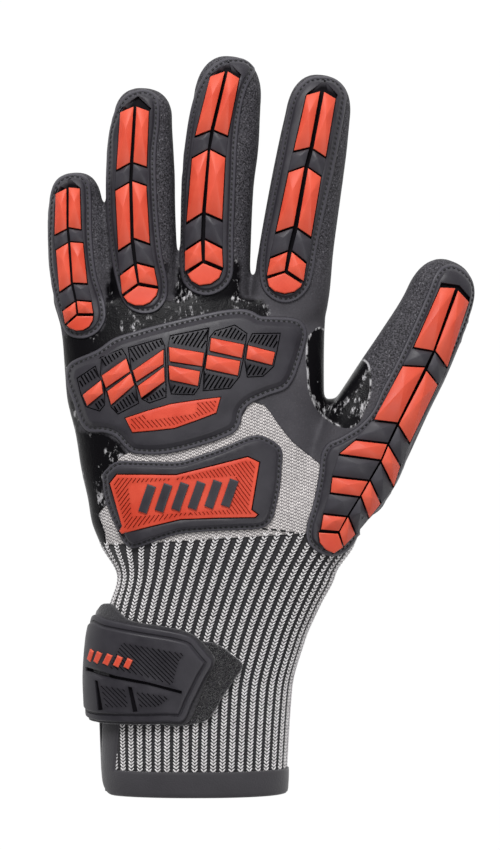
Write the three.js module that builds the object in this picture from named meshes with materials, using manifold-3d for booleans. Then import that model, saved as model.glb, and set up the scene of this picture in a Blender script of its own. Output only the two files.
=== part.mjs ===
// Impact work glove for the left hand, lying palm down with its filled form.
// Fingers point to +Y, the back of the hand faces +Z and the thumb is on the +X side.

import * as THREE from 'three';
import { mergeVertices } from 'three/addons/utils/BufferGeometryUtils.js';
import Module from 'manifold-3d';

const wasm = await Module();
wasm.setup();

// Overall sizes of the hand, in millimetres.
const gloveLength = 265.7;
const handWidth = 100;
const palmDepth = 37;
const fingerDepth = 23.5;

// Coated knit shell.
const wall = 1.9;
const clearance = 0.3;
const ribCount = 44;
const ribDepth = 0.7;

// Tape round the hem and up the wrist vent.
const tapeThickness = 1;
const tapeWidth = 9.5;
const ventGap = 3;
const ventLength = 50;
const ventCornerRadius = 7;
const ventHeight = 17;

// Moulded finger guards.
const flangeThickness = 1;
const guardHeight = 2.7;
const inlayFloor = 1.3;
const inlayHeight = 3.9;
const bridgeThickness = 0.7;

// Moulded knuckle guard and its raised tiles.
const rimThickness = 1.6;
const knuckleHeight = 3.8;
const rimWidth = 3.2;
const pocketFloor = 1.5;
const tileHeight = 5.2;
const labelHeight = 4.1;

// Badge on the back of the hand.
const badgeHeight = 3;
const badgeInlayHeight = 3.3;

// Wrist strap and its patch of loops.
const loopThickness = 1.5;
const bandThickness = 1.2;
const strapGuardHeight = 2.6;
const strapBulge = 1.6;
const strapEndHeight = 11;

// Facets round each tube.
const fingerSides = 12;
const hollowSides = 10;
const bodySides = 24;

// The last rows of a finger, past this share of them, also move along it when it is grown.
const tipFrom = 0.7;

// Hand and cuff from the finger roots to the hem. Shares: along the glove from the hem,
// centre and half width of the hand width, depth of the palm depth.
const bodyRows = [
  { along: 0.669, centre: -0.259, half: 0.495, depth: 0.69 },
  { along: 0.628, centre: -0.247, half: 0.475, depth: 0.78 },
  { along: 0.587, centre: -0.243, half: 0.468, depth: 0.86 },
  { along: 0.54, centre: -0.238, half: 0.463, depth: 0.92 },
  { along: 0.479, centre: -0.216, half: 0.448, depth: 0.96 },
  { along: 0.418, centre: -0.187, half: 0.448, depth: 0.99 },
  { along: 0.377, centre: -0.157, half: 0.457, depth: 1 },
  { along: 0.337, centre: -0.122, half: 0.455, depth: 1 },
  { along: 0.296, centre: -0.126, half: 0.391, depth: 1 },
  { along: 0.255, centre: -0.167, half: 0.378, depth: 1 },
  { along: 0.208, centre: -0.209, half: 0.365, depth: 1 },
  { along: 0.14, centre: -0.237, half: 0.345, depth: 1 },
  { along: 0, centre: -0.241, half: 0.326, depth: 1 },
];
const rootAlong = 0.669;
const cuffAlong = 0.337;

// Fingers from inside the palm to the tip. Shares as above, with the depth of the finger depth.
const fingerRows = {
  little: [
    { along: 0.62, centre: -0.61, half: 0.07, depth: 0.95 },
    { along: 0.669, centre: -0.648, half: 0.095, depth: 1 },
    { along: 0.743, centre: -0.666, half: 0.095, depth: 0.9 },
    { along: 0.808, centre: -0.67, half: 0.085, depth: 0.81 },
    { along: 0.827, centre: -0.669, half: 0.068, depth: 0.68 },
    { along: 0.838, centre: -0.668, half: 0.042, depth: 0.45 },
  ],
  ring: [
    { along: 0.62, centre: -0.424, half: 0.108, depth: 1.08 },
    { along: 0.669, centre: -0.426, half: 0.111, depth: 1.06 },
    { along: 0.743, centre: -0.422, half: 0.112, depth: 0.98 },
    { along: 0.824, centre: -0.433, half: 0.118, depth: 0.94 },
    { along: 0.915, centre: -0.428, half: 0.101, depth: 0.84 },
    { along: 0.938, centre: -0.427, half: 0.075, depth: 0.68 },
    { along: 0.95, centre: -0.427, half: 0.045, depth: 0.46 },
  ],
  middle: [
    { along: 0.62, centre: -0.18, half: 0.118, depth: 1.1 },
    { along: 0.669, centre: -0.171, half: 0.122, depth: 1.08 },
    { along: 0.743, centre: -0.163, half: 0.121, depth: 1.02 },
    { along: 0.824, centre: -0.153, half: 0.122, depth: 0.98 },
    { along: 0.94, centre: -0.121, half: 0.118, depth: 0.87 },
    { along: 0.977, centre: -0.107, half: 0.093, depth: 0.74 },
    { along: 0.993, centre: -0.1, half: 0.055, depth: 0.5 },
  ],
  index: [
    { along: 0.62, centre: 0.062, half: 0.1, depth: 1 },
    { along: 0.669, centre: 0.103, half: 0.137, depth: 1.08 },
    { along: 0.743, centre: 0.129, half: 0.132, depth: 1.02 },
    { along: 0.824, centre: 0.163, half: 0.127, depth: 0.98 },
    { along: 0.92, centre: 0.205, half: 0.118, depth: 0.88 },
    { along: 0.953, centre: 0.215, half: 0.091, depth: 0.74 },
    { along: 0.968, centre: 0.218, half: 0.055, depth: 0.5 },
  ],
  thumb: [
    { along: 0.343, centre: 0.203, half: 0.108, depth: 1.25 },
    { along: 0.377, centre: 0.251, half: 0.132, depth: 1.35 },
    { along: 0.41, centre: 0.29, half: 0.15, depth: 1.41 },
    { along: 0.479, centre: 0.372, half: 0.157, depth: 1.38 },
    { along: 0.54, centre: 0.464, half: 0.153, depth: 1.25 },
    { along: 0.644, centre: 0.615, half: 0.126, depth: 1 },
    { along: 0.688, centre: 0.664, half: 0.102, depth: 0.86 },
    { along: 0.706, centre: 0.678, half: 0.07, depth: 0.68 },
    { along: 0.714, centre: 0.682, half: 0.04, depth: 0.46 },
  ],
};

// Guard on each finger: tip and foot along the glove, roll about the finger in degrees towards
// the little finger side, and half width as a share of the hand width.
const guardRows = {
  little: { tip: 0.8425, foot: 0.616, roll: -15, half: 0.083 },
  ring: { tip: 0.9565, foot: 0.65, roll: -15, half: 0.09 },
  middle: { tip: 1, foot: 0.674, roll: -18, half: 0.094 },
  index: { tip: 0.975, foot: 0.665, roll: -5, half: 0.097 },
};

// Finger guard outline: share along from tip to foot, share of the half width.
const guardOutline = [
  { along: 0, across: 0.3 },
  { along: 0.04, across: 0.62 },
  { along: 0.12, across: 0.8 },
  { along: 0.3, across: 0.95 },
  { along: 0.55, across: 1 },
  { along: 0.82, across: 0.98 },
  { along: 0.91, across: 0.7 },
  { along: 1, across: 0.16 },
];
const ridgeWidthShare = 0.8;
const ridgeLengthShare = 0.93;

// Blocks of the finger guards: start and end along the guard at the groove and at the outer side,
// and reach across as a share of the half width. The root pair is pointed at its foot too.
const blockRows = {
  tip: { innerStart: 0.07, innerEnd: 0.33, outerStart: 0.1, outerEnd: 0.36, reach: 0.6 },
  middle: { innerStart: 0.405, innerEnd: 0.67, outerStart: 0.44, outerEnd: 0.7, reach: 0.64 },
  root: { innerStart: 0.775, innerEnd: 0.945, outerStart: 0.81, outerEnd: 0.9, reach: 0.64 },
};
const grooveWidth = 0.06;

// Thumb guard: its left and right edges and its groove as shares of the hand width. The right
// edge lies just beyond the thumb's own side, so that the guard wraps round it.
const thumbGuardRows = [
  { along: 0.718, left: 0.665, right: 0.715, groove: 0.69 },
  { along: 0.708, left: 0.632, right: 0.745, groove: 0.697 },
  { along: 0.694, left: 0.616, right: 0.785, groove: 0.7 },
  { along: 0.678, left: 0.598, right: 0.8, groove: 0.696 },
  { along: 0.654, left: 0.569, right: 0.785, groove: 0.673 },
  { along: 0.6, left: 0.504, right: 0.735, groove: 0.619 },
  { along: 0.559, left: 0.454, right: 0.69, groove: 0.567 },
  { along: 0.518, left: 0.396, right: 0.638, groove: 0.509 },
  { along: 0.479, left: 0.279, right: 0.582, groove: 0.45 },
  { along: 0.452, left: 0.216, right: 0.552, groove: 0.427 },
  { along: 0.425, left: 0.202, right: 0.512, groove: 0.383 },
  { along: 0.396, left: 0.185, right: 0.47, groove: 0.34 },
  { along: 0.365, left: 0.165, right: 0.404, groove: 0.29 },
  { along: 0.343, left: 0.167, right: 0.355, groove: 0.268 },
  { along: 0.325, left: 0.235, right: 0.285, groove: 0.26 },
];

// Blocks of the thumb guard from its tip: start and end along the glove at the groove, at the left
// side and at the right side, and reach to each side as shares of the hand width.
const thumbBlockRows = [
  { innerStart: 0.683, innerEnd: 0.6, leftStart: 0.685, leftEnd: 0.604, rightStart: 0.666, rightEnd: 0.578,
    leftReach: 0.07, rightReach: 0.064 },
  { innerStart: 0.575, innerEnd: 0.502, leftStart: 0.578, leftEnd: 0.507, rightStart: 0.553, rightEnd: 0.476,
    leftReach: 0.09, rightReach: 0.072 },
  { innerStart: 0.473, innerEnd: 0.452, leftStart: 0.478, leftEnd: 0.461, rightStart: 0.443, rightEnd: 0.417,
    leftReach: 0.14, rightReach: 0.085 },
  { innerStart: 0.424, innerEnd: 0.404, leftStart: 0.429, leftEnd: 0.409, rightStart: 0.394, rightEnd: 0.375,
    leftReach: 0.126, rightReach: 0.084 },
  { innerStart: 0.375, innerEnd: 0.357, leftStart: 0.379, leftEnd: 0.36, rightStart: 0.352, rightEnd: 0.337,
    leftReach: 0.08, rightReach: 0.052 },
];
const thumbRidgeInset = 3.2;
const thumbGroove = 0.006;

// Plan outlines, each a list of shares of the hand width and of the glove length from the hem.
const outlines = {
  backPanel: [
    [-0.524, 0.484], [-0.347, 0.479], [-0.203, 0.492], [-0.092, 0.513], [0, 0.53], [0.049, 0.506],
    [0.104, 0.479], [0.209, 0.442], [0.229, 0.398], [0.218, 0.32], [-0.535, 0.32], [-0.565, 0.381],
    [-0.574, 0.425], [-0.553, 0.459],
  ],
  knuckle: [
    [-0.704, 0.57], [-0.689, 0.583], [-0.589, 0.601], [-0.528, 0.617], [-0.367, 0.635], [-0.248, 0.646],
    [-0.129, 0.655], [-0.063, 0.656], [-0.003, 0.646], [0.11, 0.644], [0.146, 0.637], [0.164, 0.624],
    [0.155, 0.606], [0.134, 0.579], [0.11, 0.556], [0.086, 0.547], [0.02, 0.539], [-0.057, 0.522],
    [-0.074, 0.502], [-0.09, 0.49], [-0.219, 0.471], [-0.347, 0.46], [-0.463, 0.461], [-0.489, 0.468],
    [-0.521, 0.483], [-0.56, 0.489], [-0.625, 0.49], [-0.65, 0.502],
  ],
  label: [[-0.484, 0.508], [-0.322, 0.527], [-0.146, 0.536], [-0.161, 0.516], [-0.309, 0.495], [-0.46, 0.489]],
  badge: [
    [-0.568, 0.432], [-0.551, 0.44], [-0.513, 0.451], [-0.287, 0.451], [-0.149, 0.468], [-0.061, 0.482],
    [-0.005, 0.486], [0.059, 0.473], [0.074, 0.465], [0.069, 0.423], [0.052, 0.39], [0.033, 0.369],
    [0, 0.361], [-0.149, 0.358], [-0.287, 0.354], [-0.398, 0.34], [-0.463, 0.334], [-0.491, 0.341],
    [-0.535, 0.373], [-0.562, 0.406],
  ],
  badgeInlay: [
    [-0.54, 0.421], [-0.515, 0.432], [-0.303, 0.432], [-0.05, 0.456], [-0.009, 0.449], [-0.036, 0.386],
    [-0.014, 0.38], [-0.023, 0.376], [-0.287, 0.373], [-0.499, 0.353], [-0.506, 0.357], [-0.497, 0.364],
  ],
  strapGuard: [
    [-0.72, 0.246], [-0.615, 0.243], [-0.481, 0.234], [-0.34, 0.226], [-0.254, 0.218], [-0.218, 0.205],
    [-0.175, 0.184], [-0.279, 0.104], [-0.592, 0.102], [-0.72, 0.111],
  ],
  strapBand: [
    [-0.72, 0.256], [-0.621, 0.256], [-0.571, 0.262], [-0.538, 0.26], [-0.481, 0.241], [-0.34, 0.232],
    [-0.247, 0.224], [-0.203, 0.209], [-0.162, 0.184], [-0.268, 0.098], [-0.592, 0.097], [-0.72, 0.105],
  ],
  loopPatch: [
    [-0.365, 0.216], [-0.218, 0.209], [-0.166, 0.207], [-0.106, 0.192], [-0.07, 0.178], [-0.088, 0.163],
    [-0.144, 0.132], [-0.175, 0.111], [-0.196, 0.102], [-0.365, 0.102],
  ],
};

// Where the thumb leaves the palm and where its sleeve is jointed, as lines across it in plan.
const thumbCuts = {
  base: [[0.243, 0.5385], [0.607, 0.466]],
  middle: [[0.34, 0.643], [0.76, 0.559]],
};

// Raised tiles of the knuckle guard, in shares of the hand width but for the place along the glove.
const tileRows = {
  a1: { x: -0.599, along: 0.541, width: 0.062, height: 0.042, rise: 0.048, slant: -0.012 },
  b1: { x: -0.519, along: 0.568, width: 0.086, height: 0.043, rise: 0.059, slant: -0.014 },
  b2: { x: -0.5, along: 0.548, width: 0.082, height: 0.044, rise: 0.067, slant: -0.012 },
  c1: { x: -0.4, along: 0.578, width: 0.102, height: 0.045, rise: 0.069, slant: -0.006 },
  c2: { x: -0.389, along: 0.555, width: 0.087, height: 0.046, rise: 0.063, slant: -0.007 },
  d1: { x: -0.268, along: 0.59, width: 0.12, height: 0.049, rise: -0.019, slant: 0.001 },
  d2: { x: -0.275, along: 0.565, width: 0.105, height: 0.051, rise: -0.021, slant: 0.002 },
  e1: { x: -0.124, along: 0.603, width: 0.116, height: 0.046, rise: -0.025, slant: 0.006 },
  e2: { x: -0.138, along: 0.579, width: 0.116, height: 0.049, rise: -0.023, slant: 0.008 },
  f1: { x: -0.004, along: 0.593, width: 0.094, height: 0.045, rise: -0.024, slant: 0.009 },
};

// Well beyond the glove on every side, for cutting.
const beyond = gloveLength * 2;

// Solids
function solidOf(geometry) {
  const bare = geometry.clone();
  bare.deleteAttribute('normal');
  bare.deleteAttribute('uv');
  const merged = mergeVertices(bare, 1e-4);
  return new wasm.Manifold(new wasm.Mesh({
    numProp: 3,
    vertProperties: Float32Array.from(merged.attributes.position.array),
    triVerts: Uint32Array.from(merged.index.array),
  }));
}

function geometryOf(solid) {
  const mesh = solid.getMesh();
  const geometry = new THREE.BufferGeometry();
  geometry.setAttribute('position', new THREE.BufferAttribute(mesh.vertProperties, mesh.numProp));
  geometry.setIndex(new THREE.BufferAttribute(mesh.triVerts, 1));
  const flat = geometry.toNonIndexed();
  flat.computeVertexNormals();
  return flat;
}

function joined(solids) {
  return solids.reduce((sum, next) => sum.add(next));
}

// Point of the plan from its shares.
function planPoint([x, along]) {
  return new THREE.Vector2(x * handWidth, along * gloveLength);
}

// Outline moved outwards by a distance, or inwards when it is negative.
function grown(points, distance) {
  const turn = THREE.ShapeUtils.area(points) > 0 ? 1 : -1;
  return points.map((point, i) => {
    const before = points[(i + points.length - 1) % points.length];
    const after = points[(i + 1) % points.length];
    const first = point.clone().sub(before).normalize();
    const second = after.clone().sub(point).normalize();
    const normal = new THREE.Vector2(first.y + second.y, -first.x - second.x).normalize();
    const lean = Math.max(normal.x * first.y - normal.y * first.x, 0.5);
    return point.clone().addScaledVector(normal, (turn * distance) / lean);
  });
}

// Upright prism over a plan outline, from the given height.
function prism(points, from = 0) {
  const geometry = new THREE.ExtrudeGeometry(new THREE.Shape(points), { depth: beyond, bevelEnabled: false });
  return solidOf(geometry.translate(0, 0, from));
}

// Closed tube through rings of points that run from the hem side to the tip side.
function tube(rings) {
  const sides = rings[0].length;
  const positions = [];
  const indices = [];
  rings.forEach((ring) => ring.forEach((point) => positions.push(...point.toArray())));
  for (let r = 0; r + 1 < rings.length; r++) {
    for (let i = 0; i < sides; i++) {
      const next = (i + 1) % sides;
      const a = r * sides + i;
      const b = r * sides + next;
      indices.push(a, a + sides, b + sides, a, b + sides, b);
    }
  }
  const ends = [rings[0], rings[rings.length - 1]];
  ends.forEach((ring, end) => {
    const middle = ring.reduce((sum, point) => sum.add(point), new THREE.Vector3()).divideScalar(sides);
    const centre = positions.push(...middle.toArray()) / 3 - 1;
    const first = end ? (rings.length - 1) * sides : 0;
    for (let i = 0; i < sides; i++) {
      const pair = [first + i, first + ((i + 1) % sides)];
      if (end) pair.reverse();
      indices.push(centre, ...pair);
    }
  });
  const geometry = new THREE.BufferGeometry();
  geometry.setAttribute('position', new THREE.Float32BufferAttribute(positions, 3));
  geometry.setIndex(indices);
  return solidOf(geometry);
}

// Oval ring, slightly squared, across a line in plan.
const squareness = 2.25;
function oval(centre, right, halfWidth, halfDepth, sides, growth) {
  const ring = [];
  for (let i = 0; i < sides; i++) {
    const angle = (i / sides) * 2 * Math.PI;
    const grow = growth(angle, i);
    const c = Math.cos(angle);
    const s = Math.sin(angle);
    const across = Math.sign(c) * Math.abs(c) ** (2 / squareness) * (halfWidth + grow);
    const up = Math.sign(s) * Math.abs(s) ** (2 / squareness) * (halfDepth + grow);
    ring.push(centre.clone().addScaledVector(right, across).setZ(centre.z + up));
  }
  return ring;
}

// How far each tube is sunk below the surface it lies on, which gives it its flat underside.
const sink = 1;
function stationOf(row, depth) {
  const halfDepth = (row.depth * depth) / 2;
  const centre = new THREE.Vector3(row.centre * handWidth, row.along * gloveLength, halfDepth - sink);
  return { centre, halfWidth: row.half * handWidth, halfDepth };
}

// Hand and cuff as one filled form, grown by a distance and cut flat at a height.
function body(growth, floor = 0, sides = bodySides) {
  const grow = typeof growth === 'function' ? growth : () => growth;
  const right = new THREE.Vector3(1, 0, 0);
  const stations = bodyRows.map((row) => stationOf(row, palmDepth)).reverse();
  const rings = stations.map(({ centre, halfWidth, halfDepth }) =>
    oval(centre, right, halfWidth, halfDepth, sides, grow));
  return tube(rings).trimByPlane([0, 0, 1], floor);
}

// One finger as a filled form, narrowed to its tip by its last rows.
function finger(name, grow, floor = 0, sides = fingerSides) {
  const stations = fingerRows[name].map((row) => stationOf(row, fingerDepth));
  const rings = stations.map(({ centre, halfWidth, halfDepth }, i) => {
    const before = stations[Math.max(i - 1, 0)].centre;
    const after = stations[Math.min(i + 1, stations.length - 1)].centre;
    const forward = after.clone().sub(before).setZ(0).normalize();
    const right = new THREE.Vector3(forward.y, -forward.x, 0);
    const nearTip = i / (stations.length - 1) > tipFrom ? grow : 0;
    const moved = centre.clone().addScaledVector(forward, nearTip);
    return oval(moved, right, halfWidth + grow, halfDepth + grow, sides, () => 0);
  });
  return tube(rings).trimByPlane([0, 0, 1], floor);
}

const rootY = rootAlong * gloveLength;
const cuffY = cuffAlong * gloveLength;
const halfGap = clearance / 2;
const fingerNames = ['little', 'ring', 'middle', 'index'];

// Filled forms of the palm with the thumb: outside, and the hollow inside.
const hollows = Object.fromEntries(Object.keys(fingerRows).map((name) => [name, finger(name, -wall, wall, hollowSides)]));
const hollow = joined([body(-wall, wall, 2 * hollowSides).trimByPlane([0, -1, 0], -(rootY - wall)), ...Object.values(hollows)]);
const forms = Object.fromEntries(Object.keys(fingerRows).map((name) => [name, finger(name, 0)]));

// Region beyond a line across the thumb.
function thumbRegion([from, to], shift) {
  const start = planPoint(from);
  const end = planPoint(to);
  const side = end.clone().sub(start).normalize();
  const ahead = new THREE.Vector2(-side.y, side.x);
  start.addScaledVector(ahead, shift);
  end.addScaledVector(ahead, shift).addScaledVector(side, handWidth);
  const reach = gloveLength / 2;
  const far = end.clone().addScaledVector(ahead, reach);
  const near = new THREE.Vector2(start.x, start.y + reach);
  return prism([start, end, far, near], -beyond / 2);
}

const palmShell = joined([body(0), ...Object.values(forms)])
  .subtract(hollow)
  .subtract(thumbRegion(thumbCuts.base, -halfGap))
  .trimByPlane([0, 1, 0], cuffY + halfGap)
  .trimByPlane([0, -1, 0], -(rootY - halfGap));
const thumbShell = forms.thumb.subtract(hollows.thumb);
const thumbBase = thumbShell
  .intersect(thumbRegion(thumbCuts.base, halfGap))
  .subtract(thumbRegion(thumbCuts.middle, -halfGap));
const thumbTip = thumbShell.intersect(thumbRegion(thumbCuts.middle, halfGap));

// The knit back is bare of coating inside its own outline.
const backOutline = outlines.backPanel.map(planPoint);
const backFrom = palmDepth * 0.4;
const backPanel = palmShell.intersect(prism(grown(backOutline, -halfGap), backFrom + halfGap));
const palmCoat = palmShell.subtract(prism(grown(backOutline, halfGap), backFrom - halfGap));

// Each finger sleeve is open at its root.
function sleeve(name) {
  return forms[name]
    .subtract(hollows[name])
    .trimByPlane([0, 1, 0], rootY + halfGap);
}

// Region of the wrist vent seen from the little finger side, widened by a distance.
function ventRegion(widen) {
  const radius = Math.max(ventCornerRadius - widen, 0.01);
  const half = ventGap / 2 + widen;
  const corner = half + radius;
  const points = [new THREE.Vector2(-beyond, -corner)];
  const steps = 4;
  for (let i = 0; i <= steps; i++) {
    const angle = (i / steps) * (Math.PI / 2);
    points.push(new THREE.Vector2(
      widen + radius * (1 - Math.cos(angle)),
      -corner + radius * Math.sin(angle),
    ));
  }
  points.push(new THREE.Vector2(ventLength + widen, -half));
  const mirrored = points.map((point) => new THREE.Vector2(point.x, -point.y)).reverse();
  const shape = new THREE.Shape([...points, ...mirrored]);
  const depth = handWidth;
  const geometry = new THREE.ExtrudeGeometry(shape, { depth, bevelEnabled: false });
  const placed = new THREE.Matrix4().makeBasis(
    new THREE.Vector3(0, 1, 0),
    new THREE.Vector3(0, 0, 1),
    new THREE.Vector3(1, 0, 0),
  );
  placed.setPosition(bodyRows[bodyRows.length - 1].centre * handWidth - depth, 0, ventHeight);
  return solidOf(geometry.applyMatrix4(placed));
}

// Ribbed cuff, held up from the surface by its tape.
const tapeInset = tapeThickness + clearance;
const ribbed = body((angle, i) => (i % 2 ? -ribDepth : 0) - clearance, tapeInset, ribCount * 2);
const cuffHollow = body(-wall, tapeInset + wall);
const ribbedCuff = ribbed
  .subtract(cuffHollow)
  .trimByPlane([0, 1, 0], tapeInset)
  .trimByPlane([0, -1, 0], -(cuffY - halfGap))
  .subtract(ventRegion(tapeInset));

const tapeEnd = ventLength + tapeWidth + tapeWidth;
const tapeOuter = body(tapeInset).subtract(body(-wall - tapeInset, wall + 2 * tapeInset));
const tapeGroove = body(clearance, tapeThickness).subtract(body(-wall - clearance, wall + tapeInset + clearance));
const cuffBinding = tapeOuter
  .trimByPlane([0, 1, 0], 0)
  .trimByPlane([0, -1, 0], -tapeEnd)
  .subtract(ventRegion(0))
  .subtract(tapeGroove.trimByPlane([0, 1, 0], tapeThickness).subtract(ventRegion(tapeThickness)))
  .subtract(body(wall).trimByPlane([0, 1, 0], tapeWidth).subtract(ventRegion(tapeWidth)));

// Layer of the hand's skin between two heights above it.
const skins = new Map();
function skin(height) {
  if (!skins.has(height)) {
    const fingers = fingerNames.map((name) => finger(name, clearance + height));
    const form = joined([body(clearance + height), ...fingers]);
    skins.set(height, form.trimByPlane([0, -1, 0], -(rootY + halfGap)));
  }
  return skins.get(height);
}
function layer(from, to) {
  return skin(to).subtract(skin(from));
}

// Knuckle guard with its raised tiles and label plate.
const sideHeight = palmDepth * 0.36;
const knuckleOutline = outlines.knuckle.map(planPoint);
const labelOutline = outlines.label.map(planPoint);
function tileOutline(row) {
  const middle = planPoint([row.x, row.along]);
  const across = new THREE.Vector2(row.width, row.rise).multiplyScalar(handWidth / 2);
  const up = new THREE.Vector2(row.slant, row.height).multiplyScalar(handWidth / 2);
  return [[-1, -1], [1, -1], [1, 1], [-1, 1]].map(([a, b]) =>
    middle.clone().addScaledVector(across, a).addScaledVector(up, b));
}
const tileOutlines = Object.entries(tileRows).map(([name, row]) => [name, tileOutline(row)]);
const pocketOutlines = [...tileOutlines.map(([, points]) => points), labelOutline];
const knuckleGuard = layer(0, rimThickness)
  .intersect(prism(knuckleOutline, sideHeight))
  .add(layer(0, knuckleHeight).intersect(prism(grown(knuckleOutline, -rimWidth), sideHeight)))
  .subtract(joined(pocketOutlines.map((points) => prism(grown(points, clearance), sideHeight)))
    .intersect(layer(pocketFloor, tileHeight)));
const tileLayer = layer(pocketFloor + clearance, tileHeight);
const labelLayer = layer(pocketFloor + clearance, labelHeight);

// Badge frame and its inlay.
const badgeOutline = outlines.badge.map(planPoint);
const badgeInlayOutline = outlines.badgeInlay.map(planPoint);
const badgeFrame = layer(0, rimThickness)
  .intersect(prism(badgeOutline, sideHeight))
  .add(layer(0, badgeHeight).intersect(prism(grown(badgeOutline, -rimWidth / 2), sideHeight)))
  .subtract(prism(grown(badgeInlayOutline, clearance), sideHeight).intersect(layer(pocketFloor, tileHeight)));
const badgeInlay = layer(pocketFloor + clearance, badgeInlayHeight)
  .intersect(prism(badgeInlayOutline, sideHeight));

// Finger guards. The frame of a guard has its across, along and outward directions.
function guardFrame(from, to, roll, height) {
  const along = new THREE.Vector3(from.x - to.x, from.y - to.y, 0).normalize();
  const right = new THREE.Vector3(along.y, -along.x, 0);
  const angle = THREE.MathUtils.degToRad(roll);
  const up = new THREE.Vector3(0, 0, 1);
  const outward = right.clone().multiplyScalar(Math.sin(angle)).addScaledVector(up, Math.cos(angle));
  const across = right.clone().multiplyScalar(Math.cos(angle)).addScaledVector(up, -Math.sin(angle));
  return new THREE.Matrix4().makeBasis(across, along, outward).setPosition(to.x, to.y, height);
}

function rolledPrism(points, frame) {
  const geometry = new THREE.ExtrudeGeometry(new THREE.Shape(points), { depth: beyond, bevelEnabled: false });
  return solidOf(geometry.applyMatrix4(frame));
}

function fingerLayer(name, from, to) {
  const outer = finger(name, clearance + to).add(skin(to));
  const inner = finger(name, clearance + from).add(skin(from));
  return outer.subtract(inner);
}

// Place of a finger's axis at a share along the glove, carried straight on past its root and tip.
function axisPoint(rows, along) {
  const next = rows.findIndex((row) => row.along > along);
  if (next === 0) return planPoint([rows[0].centre, along]);
  const to = next < 0 ? rows[rows.length - 1] : rows[next];
  const from = next < 0 ? rows[rows.length - 2] : rows[next - 1];
  const share = (along - from.along) / (to.along - from.along);
  return planPoint([THREE.MathUtils.lerp(from.centre, to.centre, share), along]);
}

// Frame of a finger's guard, and the point of its outline at a share along and across.
function guardOf(name) {
  const { tip, foot, roll, half } = guardRows[name];
  const rows = fingerRows[name];
  const tipPoint = axisPoint(rows, tip);
  const footPoint = axisPoint(rows, foot);
  const height = (rows[2].depth * fingerDepth) / 2 - sink;
  const frame = guardFrame(tipPoint, footPoint, roll, height);
  const along = tipPoint.clone().sub(footPoint).normalize();
  const side = new THREE.Vector2(along.y, -along.x);
  const facing = Math.cos(THREE.MathUtils.degToRad(roll));
  const point = (share, across) => {
    const place = axisPoint(rows, THREE.MathUtils.lerp(tip, foot, share)).sub(footPoint);
    return new THREE.Vector2(place.dot(side) * facing + across * half * handWidth, place.dot(along));
  };
  return { frame, point };
}

function mirroredOutline(rows, point, widthShare, lengthShare) {
  const at = (share) => (1 - lengthShare) / 2 + share * lengthShare;
  const right = rows.map((row) => point(at(row.along), row.across * widthShare));
  const left = rows.map((row) => point(at(row.along), -row.across * widthShare));
  return [...left.reverse(), ...right];
}

// Outline of a pair of blocks, pointed towards the fingertip, and the groove between them.
function pairOutline(row, point) {
  return [
    point(row.innerStart, 0),
    point(row.outerStart, -row.reach),
    point(row.outerEnd, -row.reach),
    point(row.innerEnd, 0),
    point(row.outerEnd, row.reach),
    point(row.outerStart, row.reach),
  ];
}

function grooveOutline(row, point) {
  const past = grooveWidth;
  return [
    point(row.innerStart - past, -grooveWidth),
    point(row.innerEnd + past, -grooveWidth),
    point(row.innerEnd + past, grooveWidth),
    point(row.innerStart - past, grooveWidth),
  ];
}

// Layers of a guard: the raised blocks, what lies above the foot of their groove, and their pocket.
function blockLayers(layerOf) {
  const from = inlayFloor + clearance;
  return {
    raised: layerOf(from, inlayHeight),
    groove: layerOf(from + bridgeThickness, inlayHeight + clearance),
    pocket: layerOf(inlayFloor, inlayHeight),
  };
}

function inlayOf(outline, groove, frame, layers) {
  return rolledPrism(outline, frame)
    .intersect(layers.raised)
    .subtract(rolledPrism(groove, frame).intersect(layers.groove));
}

function pocketOf(pairOutlines, frame, pocketLayer) {
  return joined(pairOutlines.map((points) => rolledPrism(grown(points, clearance), frame)))
    .intersect(pocketLayer);
}

const black = '#3f3d42';
const orange = '#d2473b';
const coatGrey = '#4a474c';
const materials = {
  coat: { color: coatGrey, roughness: 0.85, metalness: 0 },
  knit: { color: '#b5afaf', roughness: 0.95, metalness: 0 },
  rib: { color: '#8d8b8e', roughness: 0.95, metalness: 0 },
  tape: { color: '#3c3a3f', roughness: 0.7, metalness: 0 },
  loops: { color: '#2e2b32', roughness: 1, metalness: 0 },
  band: { color: '#2f2d31', roughness: 0.9, metalness: 0 },
  guard: { color: black, roughness: 0.5, metalness: 0 },
  inlay: { color: orange, roughness: 0.45, metalness: 0 },
};

// Flatter than this counts as one face.
const evenness = 0.06;
const parts = [];
function part(name, material, solid) {
  const [largest] = solid.asOriginal().simplify(evenness).decompose().sort((a, b) => b.volume() - a.volume());
  parts.push({ name, material, solid: largest });
}

part('palm_coat', 'coat', palmCoat);
part('knit_back_panel', 'knit', backPanel);
fingerNames.forEach((name) => part(`${name}_sleeve`, 'coat', sleeve(name)));
part('thumb_base_sleeve', 'coat', thumbBase);
part('thumb_tip_sleeve', 'coat', thumbTip);
part('ribbed_cuff', 'rib', ribbedCuff);
part('cuff_binding', 'tape', cuffBinding);
part('knuckle_guard', 'guard', knuckleGuard);
tileOutlines.forEach(([name, points]) =>
  part(`knuckle_tile_${name}`, 'inlay', tileLayer.intersect(prism(points, sideHeight))));
part('knuckle_label', 'inlay', labelLayer.intersect(prism(labelOutline, sideHeight)));
part('badge_frame', 'guard', badgeFrame);
part('badge_inlay', 'inlay', badgeInlay);

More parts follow.
